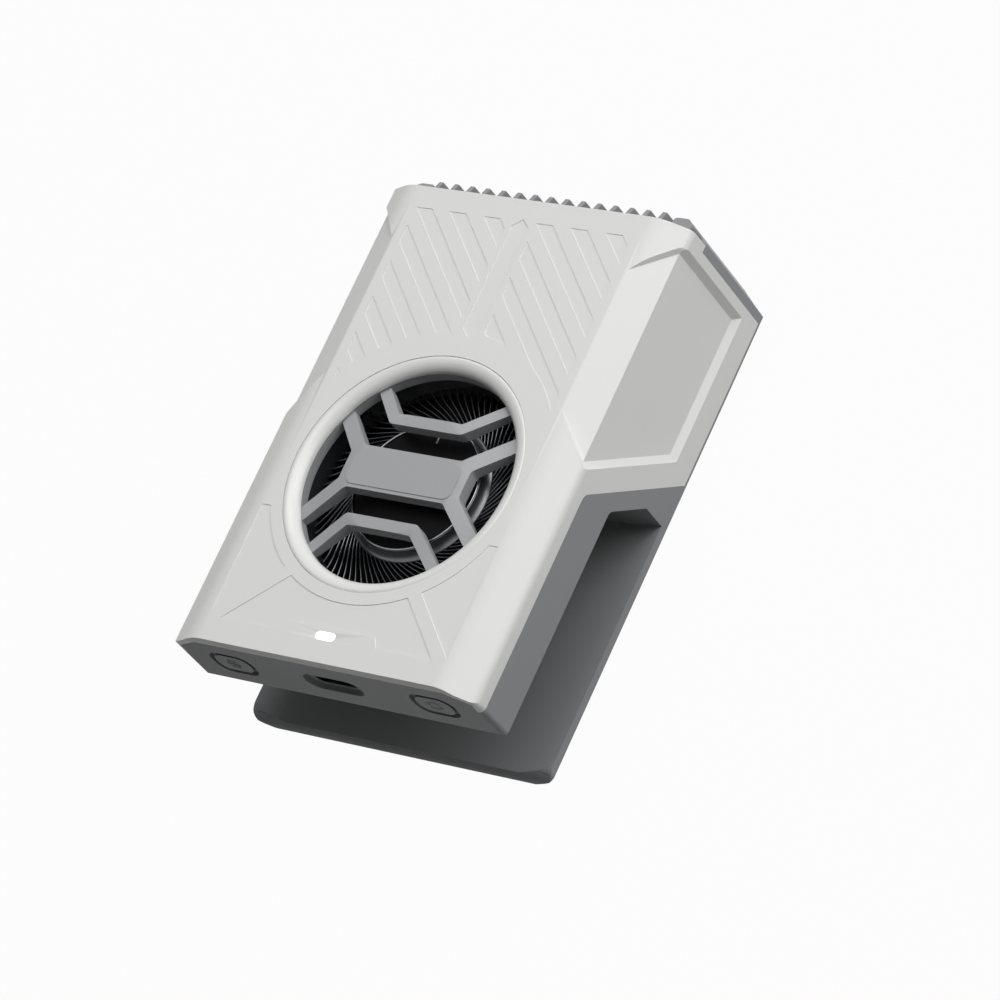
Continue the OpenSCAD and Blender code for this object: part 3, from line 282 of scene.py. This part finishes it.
def softCopy(nodeName, body, finish, width, segments, angle, reshape=None):
    # the CAD solid's own faces with small rounded edges, in its place
    mesh = frame["nodes"][nodeName].data.copy()
    mesh.name = nodeName + "Soft"
    shape = bmesh.new()
    shape.from_mesh(mesh)
    bmesh.ops.remove_doubles(shape, verts=shape.verts, dist=softLook["mergeDistance"])
    bmesh.ops.dissolve_limit(shape, angle_limit=math.radians(softLook["flatAngle"]), verts=shape.verts,
                             edges=shape.edges)
    if reshape:
        shape.to_mesh(mesh)
        shape.free()
        mesh = reshape(mesh)
        shape = bmesh.new()
        shape.from_mesh(mesh)
    big = [face for face in shape.faces if len(face.verts) > 4]
    bmesh.ops.triangulate(shape, faces=big, quad_method="BEAUTY", ngon_method="BEAUTY")
    for face in shape.faces:
        face.smooth = True
    shape.to_mesh(mesh)
    shape.free()
    piece = meshObject(nodeName + "Soft", mesh)
    bevel = piece.modifiers.new("edges", "BEVEL")
    bevel.width = width
    bevel.segments = segments
    bevel.limit_method = "ANGLE"
    bevel.angle_limit = math.radians(angle)
    bevel.use_clamp_overlap = True
    bevel.harden_normals = False
    bevel.miter_outer = "MITER_ARC"
    flats = piece.modifiers.new("flats", "WEIGHTED_NORMAL")
    flats.mode = "FACE_AREA"
    flats.weight = softLook["flatWeight"]
    flats.thresh = softLook["flatThreshold"]
    dress(piece, finish, body)
    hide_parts(nodeName)


def prism(shape, points, low, high, turn):
    # closed prism over a flat outline; turn maps (u, v, w) into the scene
    bottom = [shape.verts.new(turn @ Vector((u, v, low))) for u, v in points]
    top = [shape.verts.new(turn @ Vector((u, v, high))) for u, v in points]
    shape.faces.new(list(reversed(bottom)))
    shape.faces.new(top)
    count = len(points)
    for i in range(count):
        j = (i + 1) % count
        shape.faces.new((bottom[i], bottom[j], top[j], top[i]))


def closedMesh(name, shape):
    bmesh.ops.recalc_face_normals(shape, faces=shape.faces)
    mesh = bpy.data.meshes.new(name)
    shape.to_mesh(mesh)
    shape.free()
    return mesh


def finishMesh(name, shape):
    return meshObject(name, closedMesh(name, shape))


def paintNode(nodeName, finish):
    node = frame["nodes"][nodeName]
    node.data.materials.clear()
    node.data.materials.append(finish.material)


ventLook = {"Fins": 15, "Pitch": 0.00335, "Thickness": 0.0009, "Depth": 0.006, "Low": 0.004, "High": 0.0291,
            "Drop": 0.001, "Run": 0.0024, "Rise": 0.0013, "Steps": 13}
ventOpening = {"halfWidth": 0.02531, "skin": 0.00001, "cutDepth": 0.0065, "cutPast": 0.001, "tipsAbove": 0.02,
               "ribRun": 0.0028, "ribInner": 0.0261, "ribOuter": 0.0305, "ribSpread": 0.0012}
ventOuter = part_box("vent_grille")[1][1]


def blockMesh(name, low, high):
    shape = bmesh.new()
    corners = [(low[0], low[1]), (high[0], low[1]), (high[0], high[1]), (low[0], high[1])]
    prism(shape, corners, low[2], high[2], Matrix())
    return closedMesh(name, shape)


def openVent(mesh):
    # the wedge fins come out of the opening, and the end ribs fall away at their tips
    look = ventOpening
    low = (-look["halfWidth"], ventOuter - look["cutDepth"], ventLook["Low"] - look["skin"])
    high = (look["halfWidth"], ventOuter + look["cutPast"], ventLook["High"] + look["skin"])
    piece = meshObject("ventPlan", mesh)
    block = meshObject("ventBlock", blockMesh("ventBlock", low, high))
    cut = piece.modifiers.new("cut", "BOOLEAN")
    cut.object = block
    cut.operation = "DIFFERENCE"
    bpy.context.view_layer.update()
    opened = bpy.data.meshes.new_from_object(piece.evaluated_get(bpy.context.evaluated_depsgraph_get()))
    opened.name = mesh.name
    bpy.data.objects.remove(piece)
    bpy.data.objects.remove(block)
    for vert in opened.vertices:
        along = min(1, (vert.co.y - ventOuter) / look["ribRun"] + 1)
        if along > 0 and vert.co.z > look["tipsAbove"]:
            vert.co.z -= ventLook["Drop"] * along
        if along > 0 and look["ribInner"] < abs(vert.co.x) <= look["ribOuter"]:
            vert.co.x += math.copysign(look["ribSpread"], vert.co.x) * along
    return opened


coverRelief = {"halfWidth": 0.0247, "shallowest": 0.00018, "deepest": 0.00027, "keep": 0.5}


def shallowPanels(mesh):
    # bands and panels of the front are moulded as faint steps
    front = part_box("front_cover")[1][2]
    for vert in mesh.vertices:
        depth = front - vert.co.z
        if abs(vert.co.x) < coverRelief["halfWidth"] and coverRelief["shallowest"] < depth < coverRelief["deepest"]:
            vert.co.z = front - depth * coverRelief["keep"]
    return mesh


shellEdges = {"cover": 0.00012, "frame": 0.00025, "ring": 0.00008, "grille": 0.0004, "vent": 0.00018, "key": 0.0004,
              "fin": 0.00012, "grip": 0.0003, "jawPad": 0.0002}

softCopy("front_cover", "frame", whiteShell, shellEdges["cover"], 2, 28, shallowPanels)
softCopy("clip_frame", "frame", greyFrame, shellEdges["frame"], 2, 30)
softCopy("fan_bezel", "frame", whiteRing, shellEdges["ring"], 2, 30)
softCopy("fan_grille", "frame", greyGrille, shellEdges["grille"], 3, 25)
softCopy("vent_grille", "frame", greyVent, shellEdges["vent"], 2, 30, openVent)
softCopy("cooling_button", "cooling_key", keyPlastic, shellEdges["key"], 3, 30)
softCopy("mode_button", "mode_key", keyPlastic, shellEdges["key"], 3, 30)
print("shell pieces softened")


nodeFinishes = {
    "rotor_cup": platedSteel, "rotor_magnet": magnetFinish, "motor_shaft": platedSteel, "shaft_bearing": bronze,
    "stator_core": platedSteel, "stator_windings": copperWire, "motor_board": boardGreen, "fan_base": darkPlastic,
    "air_duct": darkPlastic, "heat_sink": sinkAluminium, "fin_stack": sinkAluminium, "insulation_frame": foam,
    "peltier_module": ceramic, "cold_plate": plateAluminium, "circuit_board": boardGreen, "usb_socket": paintedShadeSocketSteel,
    "usb_tongue": darkPlastic, "cooling_plunger": ceramic, "mode_plunger": ceramic, "cooling_switch": darkPlastic,
    "mode_switch": darkPlastic, "status_lens": lensGlow, "status_led": ledGlow, "board_screws": platedSteel,
    "fan_screws": platedSteel, "module_leads": leadRubber, "fan_ribbon": ribbonFilm, "impeller": blackImpeller,
}
for nodeName, finish in nodeFinishes.items():
    paintNode(nodeName, finish)
softCopy("grip_pad", "frame", padRubber, shellEdges["grip"], 3, 30)
softCopy("jaw_pad", "frame", padRubber, shellEdges["jawPad"], 2, 30)
print("CAD nodes painted:", len(nodeFinishes))


# armStart, branchStart, branchLength and loopRadius are shares of the size
iconLook = {"stroke": 0.00016, "thickness": 0.00004, "sunk": 0.00003, "size": 0.00145, "armStart": 0.12,
            "branchStart": 0.55, "branchLength": 0.4, "branchLean": 50, "loopRadius": 0.8, "loopStart": 20,
            "loopSweep": 130, "loopSteps": 10, "headHalf": 0.0005, "headLength": 0.0007}


def keyFace(nodeName):
    low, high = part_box(nodeName)
    centre = ((low[0] + high[0]) / 2, low[1], (low[2] + high[2]) / 2)
    # u runs to the right as seen from the port end, v up, w out of the key
    return Matrix(((1, 0, 0, centre[0]), (0, 0, -1, centre[1]), (0, 1, 0, centre[2]), (0, 0, 0, 1)))


def stroke(shape, start, end, turn):
    along = Vector(end) - Vector(start)
    side = Vector((-along.y, along.x)).normalized() * iconLook["stroke"] / 2
    corners = [Vector(start) - side, Vector(end) - side, Vector(end) + side, Vector(start) + side]
    prism(shape, [(c.x, c.y) for c in corners], -iconLook["sunk"], iconLook["thickness"], turn)


def snowIcon(turn):
    shape = bmesh.new()
    size = iconLook["size"]
    first, fork, length = iconLook["armStart"], iconLook["branchStart"], iconLook["branchLength"]
    for k in range(6):
        a = math.radians(60 * k)
        tip = (size * math.cos(a), size * math.sin(a))
        stroke(shape, (first * tip[0], first * tip[1]), tip, turn)
        for lean in (-iconLook["branchLean"], iconLook["branchLean"]):
            b = a + math.radians(lean)
            root = (fork * tip[0], fork * tip[1])
            stroke(shape, root, (root[0] + length * size * math.cos(b), root[1] + length * size * math.sin(b)), turn)
    return finishMesh("snowIcon", shape)


def loopIcon(turn):
    shape = bmesh.new()
    radius = iconLook["size"] * iconLook["loopRadius"]
    steps = iconLook["loopSteps"]
    for half in (0, 180):
        first = half + iconLook["loopStart"]
        for i in range(steps):
            a = math.radians(first + iconLook["loopSweep"] * i / steps)
            b = math.radians(first + iconLook["loopSweep"] * (i + 1) / steps)
            stroke(shape, (radius * math.cos(a), radius * math.sin(a)), (radius * math.cos(b), radius * math.sin(b)),
                   turn)
        end = math.radians(first + iconLook["loopSweep"])
        point = Vector((radius * math.cos(end), radius * math.sin(end)))
        onward = Vector((-math.sin(end), math.cos(end)))
        outward = Vector((math.cos(end), math.sin(end)))
        head = [point - outward * iconLook["headHalf"], point + outward * iconLook["headHalf"],
                point + onward * iconLook["headLength"]]
        prism(shape, [(p.x, p.y) for p in head], -iconLook["sunk"], iconLook["thickness"], turn)
    return finishMesh("loopIcon", shape)


dress(snowIcon(keyFace("cooling_button")), iconInk, "cooling_key")
dress(loopIcon(keyFace("mode_button")), iconInk, "mode_key")
print("key icons drawn")


class Plan:
    # a Geometry Nodes tree with named number inputs
    def __init__(self, name, inputs):
        self.tree = bpy.data.node_groups.new(name, "GeometryNodeTree")
        self.tree.interface.new_socket("Geometry", in_out="OUTPUT", socket_type="NodeSocketGeometry")
        self.identifiers = {}
        for label, value in inputs.items():
            kind = "NodeSocketInt" if isinstance(value, int) else "NodeSocketFloat"
            socket = self.tree.interface.new_socket(label, in_out="INPUT", socket_type=kind)
            socket.default_value = value
            self.identifiers[label] = socket.identifier
        self.values = inputs
        self.group = self.tree.nodes.new("NodeGroupInput")
        self.out = self.tree.nodes.new("NodeGroupOutput")

    def get(self, label):
        return self.group.outputs[label]

    def node(self, kind, output=0, settings=None, **values):
        return makeNode(self.tree, kind, settings, values).outputs[output]

    def math(self, operation, first, second=0.0):
        return self.node("ShaderNodeMath", 0, {"operation": operation}, i0=first, i1=second)

    def vector(self, x=0.0, y=0.0, z=0.0):
        return self.node("ShaderNodeCombineXYZ", 0, None, X=x, Y=y, Z=z)

    def join(self, *parts):
        made = makeNode(self.tree, "GeometryNodeJoinGeometry", None, {})
        for part in parts:
            self.tree.links.new(part, made.inputs[0])
        return made.outputs[0]

    def moved(self, part, x=0.0, y=0.0, z=0.0):
        return self.node("GeometryNodeTransform", 0, None, Geometry=part, Translation=self.vector(x, y, z))

    def repeated(self, points, part, **values):
        return self.node("GeometryNodeInstanceOnPoints", 0, None, Points=points, Instance=part, **values)

    def box(self, x, y, z, **values):
        return self.node("GeometryNodeMeshCube", 0, None, Size=self.vector(x, y, z), **values)

    def close(self, geometry, finish):
        real = self.node("GeometryNodeRealizeInstances", 0, None, Geometry=geometry)
        done = self.node("GeometryNodeSetMaterial", 0, None, Geometry=real, Material=finish.material)
        self.tree.links.new(done, self.out.inputs[0])

    def build(self, name, place):
        holder = meshObject(name + "Plan", bpy.data.meshes.new(name + "Plan"))
        modifier = holder.modifiers.new("plan", "NODES")
        modifier.node_group = self.tree
        for label, value in self.values.items():
            modifier[self.identifiers[label]] = value
        bpy.context.view_layer.update()
        graph = bpy.context.evaluated_depsgraph_get()
        mesh = bpy.data.meshes.new_from_object(holder.evaluated_get(graph))
        bpy.data.objects.remove(holder)
        mesh.name = name
        mesh.transform(Matrix.Translation(place))
        return meshObject(name, mesh)


joints = {joint["name"]: joint for joint in frame["joints"]}
fanAxis = joints["fan_spin"]["pos_m"]
impellerLow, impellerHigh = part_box("impeller")
hubTop = impellerHigh[2]

impellerLook = {"hubRadius": 0.012, "footRadius": 0.0133, "discRadius": 0.02025, "discThickness": 0.0004,
                "bladeDrop": 0.0022, "bladeLift": 0.00003, "beadRadius": 0.00017, "beadSides": 10, "dishDepth": 0.0002,
                "capStep": 0.0001, "capThickness": 0.001, "wallStep": 0.0004, "boreRadius": 0.0114,
                "collarStep": 0.00008, "collarLap": 0.00012, "spinSteps": 144, "hubSharp": 35, "bladeSharp": 50}
# places round the bead, in bead radii
beadShares = {"dishEdge": 3, "grooveEdge": 2, "grooveDrop": 1.5, "collarDrop": 1.2, "beadInset": 0.6}
bladeLook = {"Blades": 79, "Root": 0.01255, "Tip": 0.0201, "Sweep": 30.0, "Ease": 0.73, "Thickness": 0.00026,
             "Height": 0.00195, "Rounding": 0.0001, "Steps": 8}


def revolve(name, profile):
    # profile is a closed path of (radius, height) round the fan's axis; a radius of 0 closes at the axis
    shape = bmesh.new()
    steps = impellerLook["spinSteps"]
    turns = [2 * math.pi * i / steps for i in range(steps)]
    rings = []
    for radius, height in profile:
        if radius < 1e-9:
            rings.append([shape.verts.new((fanAxis[0], fanAxis[1], height))] * steps)
        else:
            around = [(fanAxis[0] + radius * math.cos(a), fanAxis[1] + radius * math.sin(a), height) for a in turns]
            rings.append([shape.verts.new(place) for place in around])
    for first, second in zip(rings, rings[1:] + rings[:1]):
        for i in range(steps):
            j = (i + 1) % steps
            corners = []
            for vert in (first[i], first[j], second[j], second[i]):
                if vert not in corners:
                    corners.append(vert)
            if len(corners) > 2:
                shape.faces.new(corners).smooth = True
    return finishMesh(name, shape)


def impellerHub():
    # cap, and the disc that carries the blades
    look = impellerLook
    low = impellerLow[2]
    foot = hubTop - look["bladeDrop"]
    dish = hubTop - look["dishDepth"]
    under = hubTop - look["capThickness"]
    rim = look["hubRadius"]
    wall = rim + look["wallStep"]
    bead = look["beadRadius"]
    groove = hubTop - beadShares["grooveDrop"] * bead
    deck = low + look["discThickness"]
    profile = [(0, dish), (rim - beadShares["dishEdge"] * bead, dish), (rim - beadShares["grooveEdge"] * bead, groove),
               (rim - look["capStep"], groove), (wall, foot), (wall, deck), (look["discRadius"], deck),
               (look["discRadius"], low), (look["boreRadius"], low), (look["boreRadius"], under), (0, under)]
    hub = revolve("impellerHub", profile)
    hub.data.set_sharp_from_angle(angle=math.radians(look["hubSharp"]))
    return hub


def hubCollar():
    # flared wall from the bead down to the roots of the blades
    look = impellerLook
    foot = hubTop - look["bladeDrop"]
    rim = look["hubRadius"]
    top = hubTop - beadShares["collarDrop"] * look["beadRadius"]
    flare = look["footRadius"] - rim
    angles = [math.radians(t) for t in range(0, 91, 15)]
    outer = [(rim + look["collarStep"] + flare * (1 - math.cos(a)), top + (foot - top) * math.sin(a)) for a in angles]
    inner = [(rim - look["collarLap"], top), (rim - look["collarLap"], foot)]
    return revolve("hubCollar", outer + list(reversed(inner)))


def hubBead():
    # round bead on the rim of the cap
    bead, sides = impellerLook["beadRadius"], impellerLook["beadSides"]
    turns = [2 * math.pi * i / sides for i in range(sides)]
    centre = impellerLook["hubRadius"] - bead * beadShares["beadInset"]
    return revolve("hubBead", [(centre + bead * math.cos(a), hubTop - bead + bead * math.sin(a)) for a in turns])


def impellerBlades():
    # a swept line given an upright rounded profile, repeated round the hub
    plan = Plan("impellerBlades", bladeLook)
    line = plan.node("GeometryNodeCurvePrimitiveLine", 0, {"mode": "POINTS"}, Start=(0, 0, 0), End=(1, 0, 0))
    path = plan.node("GeometryNodeResampleCurve", 0, None, Curve=line, Count=plan.get("Steps"))
    k = plan.node("GeometryNodeSplineParameter", 0)
    reach = plan.math("SUBTRACT", plan.get("Tip"), plan.get("Root"))
    radius = plan.math("ADD", plan.get("Root"), plan.math("MULTIPLY", k, reach))
    eased = plan.math("SUBTRACT", plan.math("ADD", 1.0, plan.get("Ease")), plan.math("MULTIPLY", k, plan.get("Ease")))
    degrees = plan.math("MULTIPLY", plan.math("MULTIPLY", plan.get("Sweep"), k), eased)
    angle = plan.math("RADIANS", degrees)
    x = plan.math("MULTIPLY", radius, plan.math("COSINE", angle))
    y = plan.math("MULTIPLY", radius, plan.math("SINE", angle))
    swept = plan.node("GeometryNodeSetPosition", 0, None, Geometry=path, Position=plan.vector(x, y, 0.0))
    upright = plan.node("GeometryNodeSetCurveNormal", 0, {"mode": "Z_UP"}, Curve=swept)
    section = plan.node("GeometryNodeCurvePrimitiveQuadrilateral", 0, {"mode": "RECTANGLE"},
                        Width=plan.get("Thickness"), Height=plan.get("Height"))
    rounded = plan.node("GeometryNodeFilletCurve", 0, None, Curve=section, Radius=plan.get("Rounding"),
                        Limit_Radius=True)
    blade = plan.node("GeometryNodeCurveToMesh", 0, None, Curve=upright, Profile_Curve=rounded, Fill_Caps=True)
    places = plan.node("GeometryNodeMeshLine", 0, None, Count=plan.get("Blades"), Offset=(0, 0, 0))
    step = plan.math("DIVIDE", 2 * math.pi, plan.get("Blades"))
    spin = plan.math("MULTIPLY", plan.node("GeometryNodeInputIndex", 0), step)
    plan.close(plan.repeated(places, blade, Rotation=plan.vector(0.0, 0.0, spin)), bladeGloss)
    middle = hubTop - impellerLook["bladeDrop"] + impellerLook["bladeLift"] - bladeLook["Height"] / 2
    blades = plan.build("impellerBlades", (fanAxis[0], fanAxis[1], middle))
    shape = bmesh.new()
    shape.from_mesh(blades.data)
    bmesh.ops.recalc_face_normals(shape, faces=shape.faces)
    for face in shape.faces:
        face.smooth = True
    shape.to_mesh(blades.data)
    shape.free()
    blades.data.set_sharp_from_angle(angle=math.radians(impellerLook["bladeSharp"]))
    return blades


def ventFins():
    # thin upright plates whose upper and lower edges close in towards their outer ends
    plan = Plan("ventFins", ventLook)
    depth, height = plan.get("Depth"), plan.math("SUBTRACT", plan.get("High"), plan.get("Low"))
    plate = plan.box(plan.get("Thickness"), depth, height, Vertices_X=2, Vertices_Y=plan.get("Steps"), Vertices_Z=2)
    spot = plan.node("GeometryNodeInputPosition")
    y, z = (plan.node("ShaderNodeSeparateXYZ", axis, None, Vector=spot) for axis in ("Y", "Z"))
    fromEnd = plan.math("SUBTRACT", plan.math("MULTIPLY", depth, 0.5), y)
    share = plan.math("DIVIDE", fromEnd, plan.get("Run"))
    reach = plan.math("MAXIMUM", plan.math("SUBTRACT", 1.0, share), 0.0)
    upper = plan.math("GREATER_THAN", z, 0.0)
    lower = plan.math("SUBTRACT", 1.0, upper)
    lowered = plan.math("MULTIPLY", plan.math("MULTIPLY", upper, reach), plan.get("Drop"))
    raised = plan.math("MULTIPLY", plan.math("MULTIPLY", lower, reach), plan.get("Rise"))
    slope = plan.vector(0.0, 0.0, plan.math("SUBTRACT", raised, lowered))
    sloped = plan.node("GeometryNodeSetPosition", 0, None, Geometry=plate, Offset=slope)
    span = plan.math("MULTIPLY", plan.math("SUBTRACT", plan.get("Fins"), 1.0), plan.get("Pitch"))
    row = plan.node("GeometryNodeMeshLine", 0, None, Count=plan.get("Fins"),
                    Start_Location=plan.vector(plan.math("MULTIPLY", span, -0.5)),
                    Offset=plan.vector(plan.get("Pitch")))
    plan.close(plan.repeated(row, sloped), greyVent)
    piece = plan.build("ventFins", (0, ventOuter - ventLook["Depth"] / 2, (ventLook["Low"] + ventLook["High"]) / 2))
    rounding = piece.modifiers.new("edges", "BEVEL")
    rounding.width = shellEdges["fin"]
    rounding.segments = 2
    return dress(piece, greyVent, "frame")


finPiece = ventFins()
print("vent fins set:", len(finPiece.data.polygons), "faces")

hubPiece = dress(impellerHub(), blackImpeller, "rotor")
bladePiece = dress(impellerBlades(), bladeGloss, "rotor")
dress(hubBead(), beadGloss, "rotor")
dress(hubCollar(), collarGrey, "rotor")
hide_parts("impeller")
print("impeller built:", len(bladePiece.data.polygons), "blade faces")


tickLook = {"radius": 0.009, "length": 0.0011, "width": 0.0003, "height": 0.00005, "sunk": 0.00003}


def hubTicks():
    # one light mark on each side of the axis, along the radius: painted highlights on the cap
    shape = bmesh.new()
    turn = Matrix.Translation((fanAxis[0], fanAxis[1], hubTop - impellerLook["dishDepth"]))
    w, l = tickLook["width"] / 2, tickLook["length"] / 2
    for side in (-1, 1):
        y = side * tickLook["radius"]
        prism(shape, [(-w, y - l), (w, y - l), (w, y + l), (-w, y + l)], -tickLook["sunk"], tickLook["height"], turn)
    return finishMesh("hubTicks", shape)


dress(hubTicks(), paintedHighlightTick, "rotor")


contactRow = {"Contacts": 12, "Spacing": 0.0005, "Width": 0.00028, "Length": 0.003, "Thickness": 0.00006}
contactPlace = {"fromMouth": 0.0018, "aboveMiddle": 0.00035}


def tongueContacts():
    # a row of flat pins on the tongue's upper face
    plan = Plan("contactRow", contactRow)
    low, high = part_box("usb_tongue")
    pin = plan.box(plan.get("Width"), plan.get("Length"), plan.get("Thickness"))
    line = plan.node("GeometryNodeMeshLine", 0, None, Count=plan.get("Contacts"), Start_Location=(0, 0, 0),
                     Offset=plan.vector(plan.get("Spacing")))
    gaps = plan.math("SUBTRACT", plan.get("Contacts"), 1.0)
    half = plan.math("MULTIPLY", gaps, plan.math("MULTIPLY", plan.get("Spacing"), -0.5))
    plan.close(plan.repeated(plan.moved(line, half), pin), goldPin)
    middle = (low[2] + high[2]) / 2
    return plan.build("tongueContacts", (0, low[1] + contactPlace["fromMouth"], middle + contactPlace["aboveMiddle"]))


dress(tongueContacts(), goldPin, "frame")
print("inlet contacts laid")


screwLook = {"Head radius": 0.0015, "Head height": 0.0006, "Head sides": 32, "Slot width": 0.00042,
             "Slot length": 0.0019, "Slot depth": 0.00035, "Thread radius": 0.0008, "Thread length": 0.0059,
             "Thread sides": 20}


def coverScrews():
    # four pan heads with a cross recess that faces the slot, each with its thread above
    low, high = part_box("cover_screws")
    plan = Plan("coverScrews", screwLook)
    height = plan.get("Head height")
    head = plan.node("GeometryNodeMeshCylinder", 0, None, Vertices=plan.get("Head sides"),
                     Radius=plan.get("Head radius"), Depth=height)
    lower = plan.math("MULTIPLY", height, -0.5)
    depth = plan.math("MULTIPLY", plan.get("Slot depth"), 2.0)
    across = plan.moved(plan.box(plan.get("Slot length"), plan.get("Slot width"), depth), z=lower)
    along = plan.moved(plan.box(plan.get("Slot width"), plan.get("Slot length"), depth), z=lower)
    slotted = plan.node("GeometryNodeMeshBoolean", 0, {"operation": "DIFFERENCE"}, i0=head, i1=across)
    crossed = plan.node("GeometryNodeMeshBoolean", 0, {"operation": "DIFFERENCE"}, i0=slotted, i1=along)
    thread = plan.node("GeometryNodeMeshCylinder", 0, None, Vertices=plan.get("Thread sides"),
                       Radius=plan.get("Thread radius"), Depth=plan.get("Thread length"))
    lift = plan.math("MULTIPLY", plan.math("ADD", height, plan.get("Thread length")), 0.5)
    screw = plan.join(crossed, plan.moved(thread, z=lift))
    width = 2 * screwLook["Head radius"]
    places = plan.node("GeometryNodeMeshGrid", 0, None, Size_X=high[0] - low[0] - width,
                       Size_Y=high[1] - low[1] - width, Vertices_X=2, Vertices_Y=2)
    plan.close(plan.repeated(places, screw), darkScrew)
    centre = ((low[0] + high[0]) / 2, (low[1] + high[1]) / 2, low[2] + screwLook["Head height"] / 2)
    return plan.build("coverScrews", centre)


coverScrewPiece = dress(coverScrews(), darkScrew, "frame")
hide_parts("cover_screws")
print("cover screws set")


stageLook = {"floorSize": 3.0, "floorDrop": 0.0003, "floorGlow": 0.97, "paper": (0.33, 0.34, 0.35), "skyStrength": 0.12,
             "seenSky": (0.8, 0.8, 0.8), "lampSize": 1.2, "lampAim": (0, 0, 0.02), "keyPower": 10.5, "sidePower": 10.6,
             "keyPlace": (0.05, 0.55, 1.15), "sidePlace": (0.95, 0.65, 0.7)}


def seenDirectly(shading):
    # 1 where the camera looks at the backdrop, straight or through gloss and glass
    rays = ("Is Camera Ray", "Is Glossy Ray", "Is Transmission Ray")
    straight, gloss, glass = (shading.node("LightPath", ray) for ray in rays)
    return (straight + gloss + glass).clamped()


def floorFinish():
    # grey paper for the light, near white where it is seen
    dark, middle, pale = ((shade,) * 3 for shade in stageLook["paper"])
    finish = Finish("paperFloor", middle, 0.9, Specular_IOR_Level=0.1)
    finish.feed("Base Color", finish.mix(finish.noise(30, 3), dark, pale))
    glow = finish.node("Emission", 0, None, Color=(1, 1, 1, 1))
    share = seenDirectly(finish) * stageLook["floorGlow"]
    blend = finish.node("MixShader", 0, None, i0=share, i1=finish.shader, i2=glow)
    finish.tree.links.new(blend.socket, finish.output.inputs["Surface"])
    return finish


def makeSky():
    # dim even light, and a pale grey where the camera sees past the floor
    world = bpy.data.worlds.new("studioSky")
    bpy.context.scene.world = world
    sky = Shading(world)
    light = sky.node("Background", 0, None, Color=(1, 1, 1, 1), Strength=stageLook["skyStrength"])
    seen = sky.node("Background", 0, None, Color=(*stageLook["seenSky"], 1), Strength=1.0)
    sky.close("OutputWorld", sky.node("MixShader", 0, None, i0=seenDirectly(sky), i1=light, i2=seen))


def makeStage():
    size, level = stageLook["floorSize"], -stageLook["floorDrop"]
    corners = [(-size, -size, level), (size, -size, level), (size, size, level), (-size, size, level)]
    mesh = bpy.data.meshes.new("floor")
    mesh.from_pydata(corners, [], [(0, 1, 2, 3)])
    floor = meshObject("floor", mesh)
    floor.data.materials.append(floorFinish().material)
    makeSky()


def softLamp(name, place, power):
    data = bpy.data.lights.new(name, "AREA")
    data.shape = "DISK"
    data.size = stageLook["lampSize"]
    data.energy = power
    lamp = bpy.data.objects.new(name, data)
    bpy.context.scene.collection.objects.link(lamp)
    lamp.location = place
    lamp.rotation_euler = (Vector(stageLook["lampAim"]) - Vector(place)).to_track_quat("-Z", "Y").to_euler()


cameraFit = {"place": (0.512702, -0.295969, 0.653470), "right": (0.798907, 0.398474, -0.450518),
             "down": (0.142205, -0.852952, -0.502246), "lens": 186.836, "sensor": 36, "near": 0.01, "far": 20}


def makeCamera():
    right = Vector(cameraFit["right"])
    up = -Vector(cameraFit["down"])
    back = right.cross(up)
    data = bpy.data.cameras.new("photoCamera")
    data.lens = cameraFit["lens"]
    data.sensor_width = cameraFit["sensor"]
    data.clip_start = cameraFit["near"]
    data.clip_end = cameraFit["far"]
    camera = bpy.data.objects.new("photoCamera", data)
    bpy.context.scene.collection.objects.link(camera)
    camera.matrix_world = Matrix.Translation(cameraFit["place"]) @ Matrix((right, up, back)).transposed().to_4x4()
    bpy.context.scene.camera = camera


makeStage()
softLamp("keyLamp", stageLook["keyPlace"], stageLook["keyPower"])
softLamp("sideLamp", stageLook["sidePlace"], stageLook["sidePower"])
makeCamera()
bpy.context.scene.view_settings.view_transform = "Standard"
print("stage, lamps and camera set")
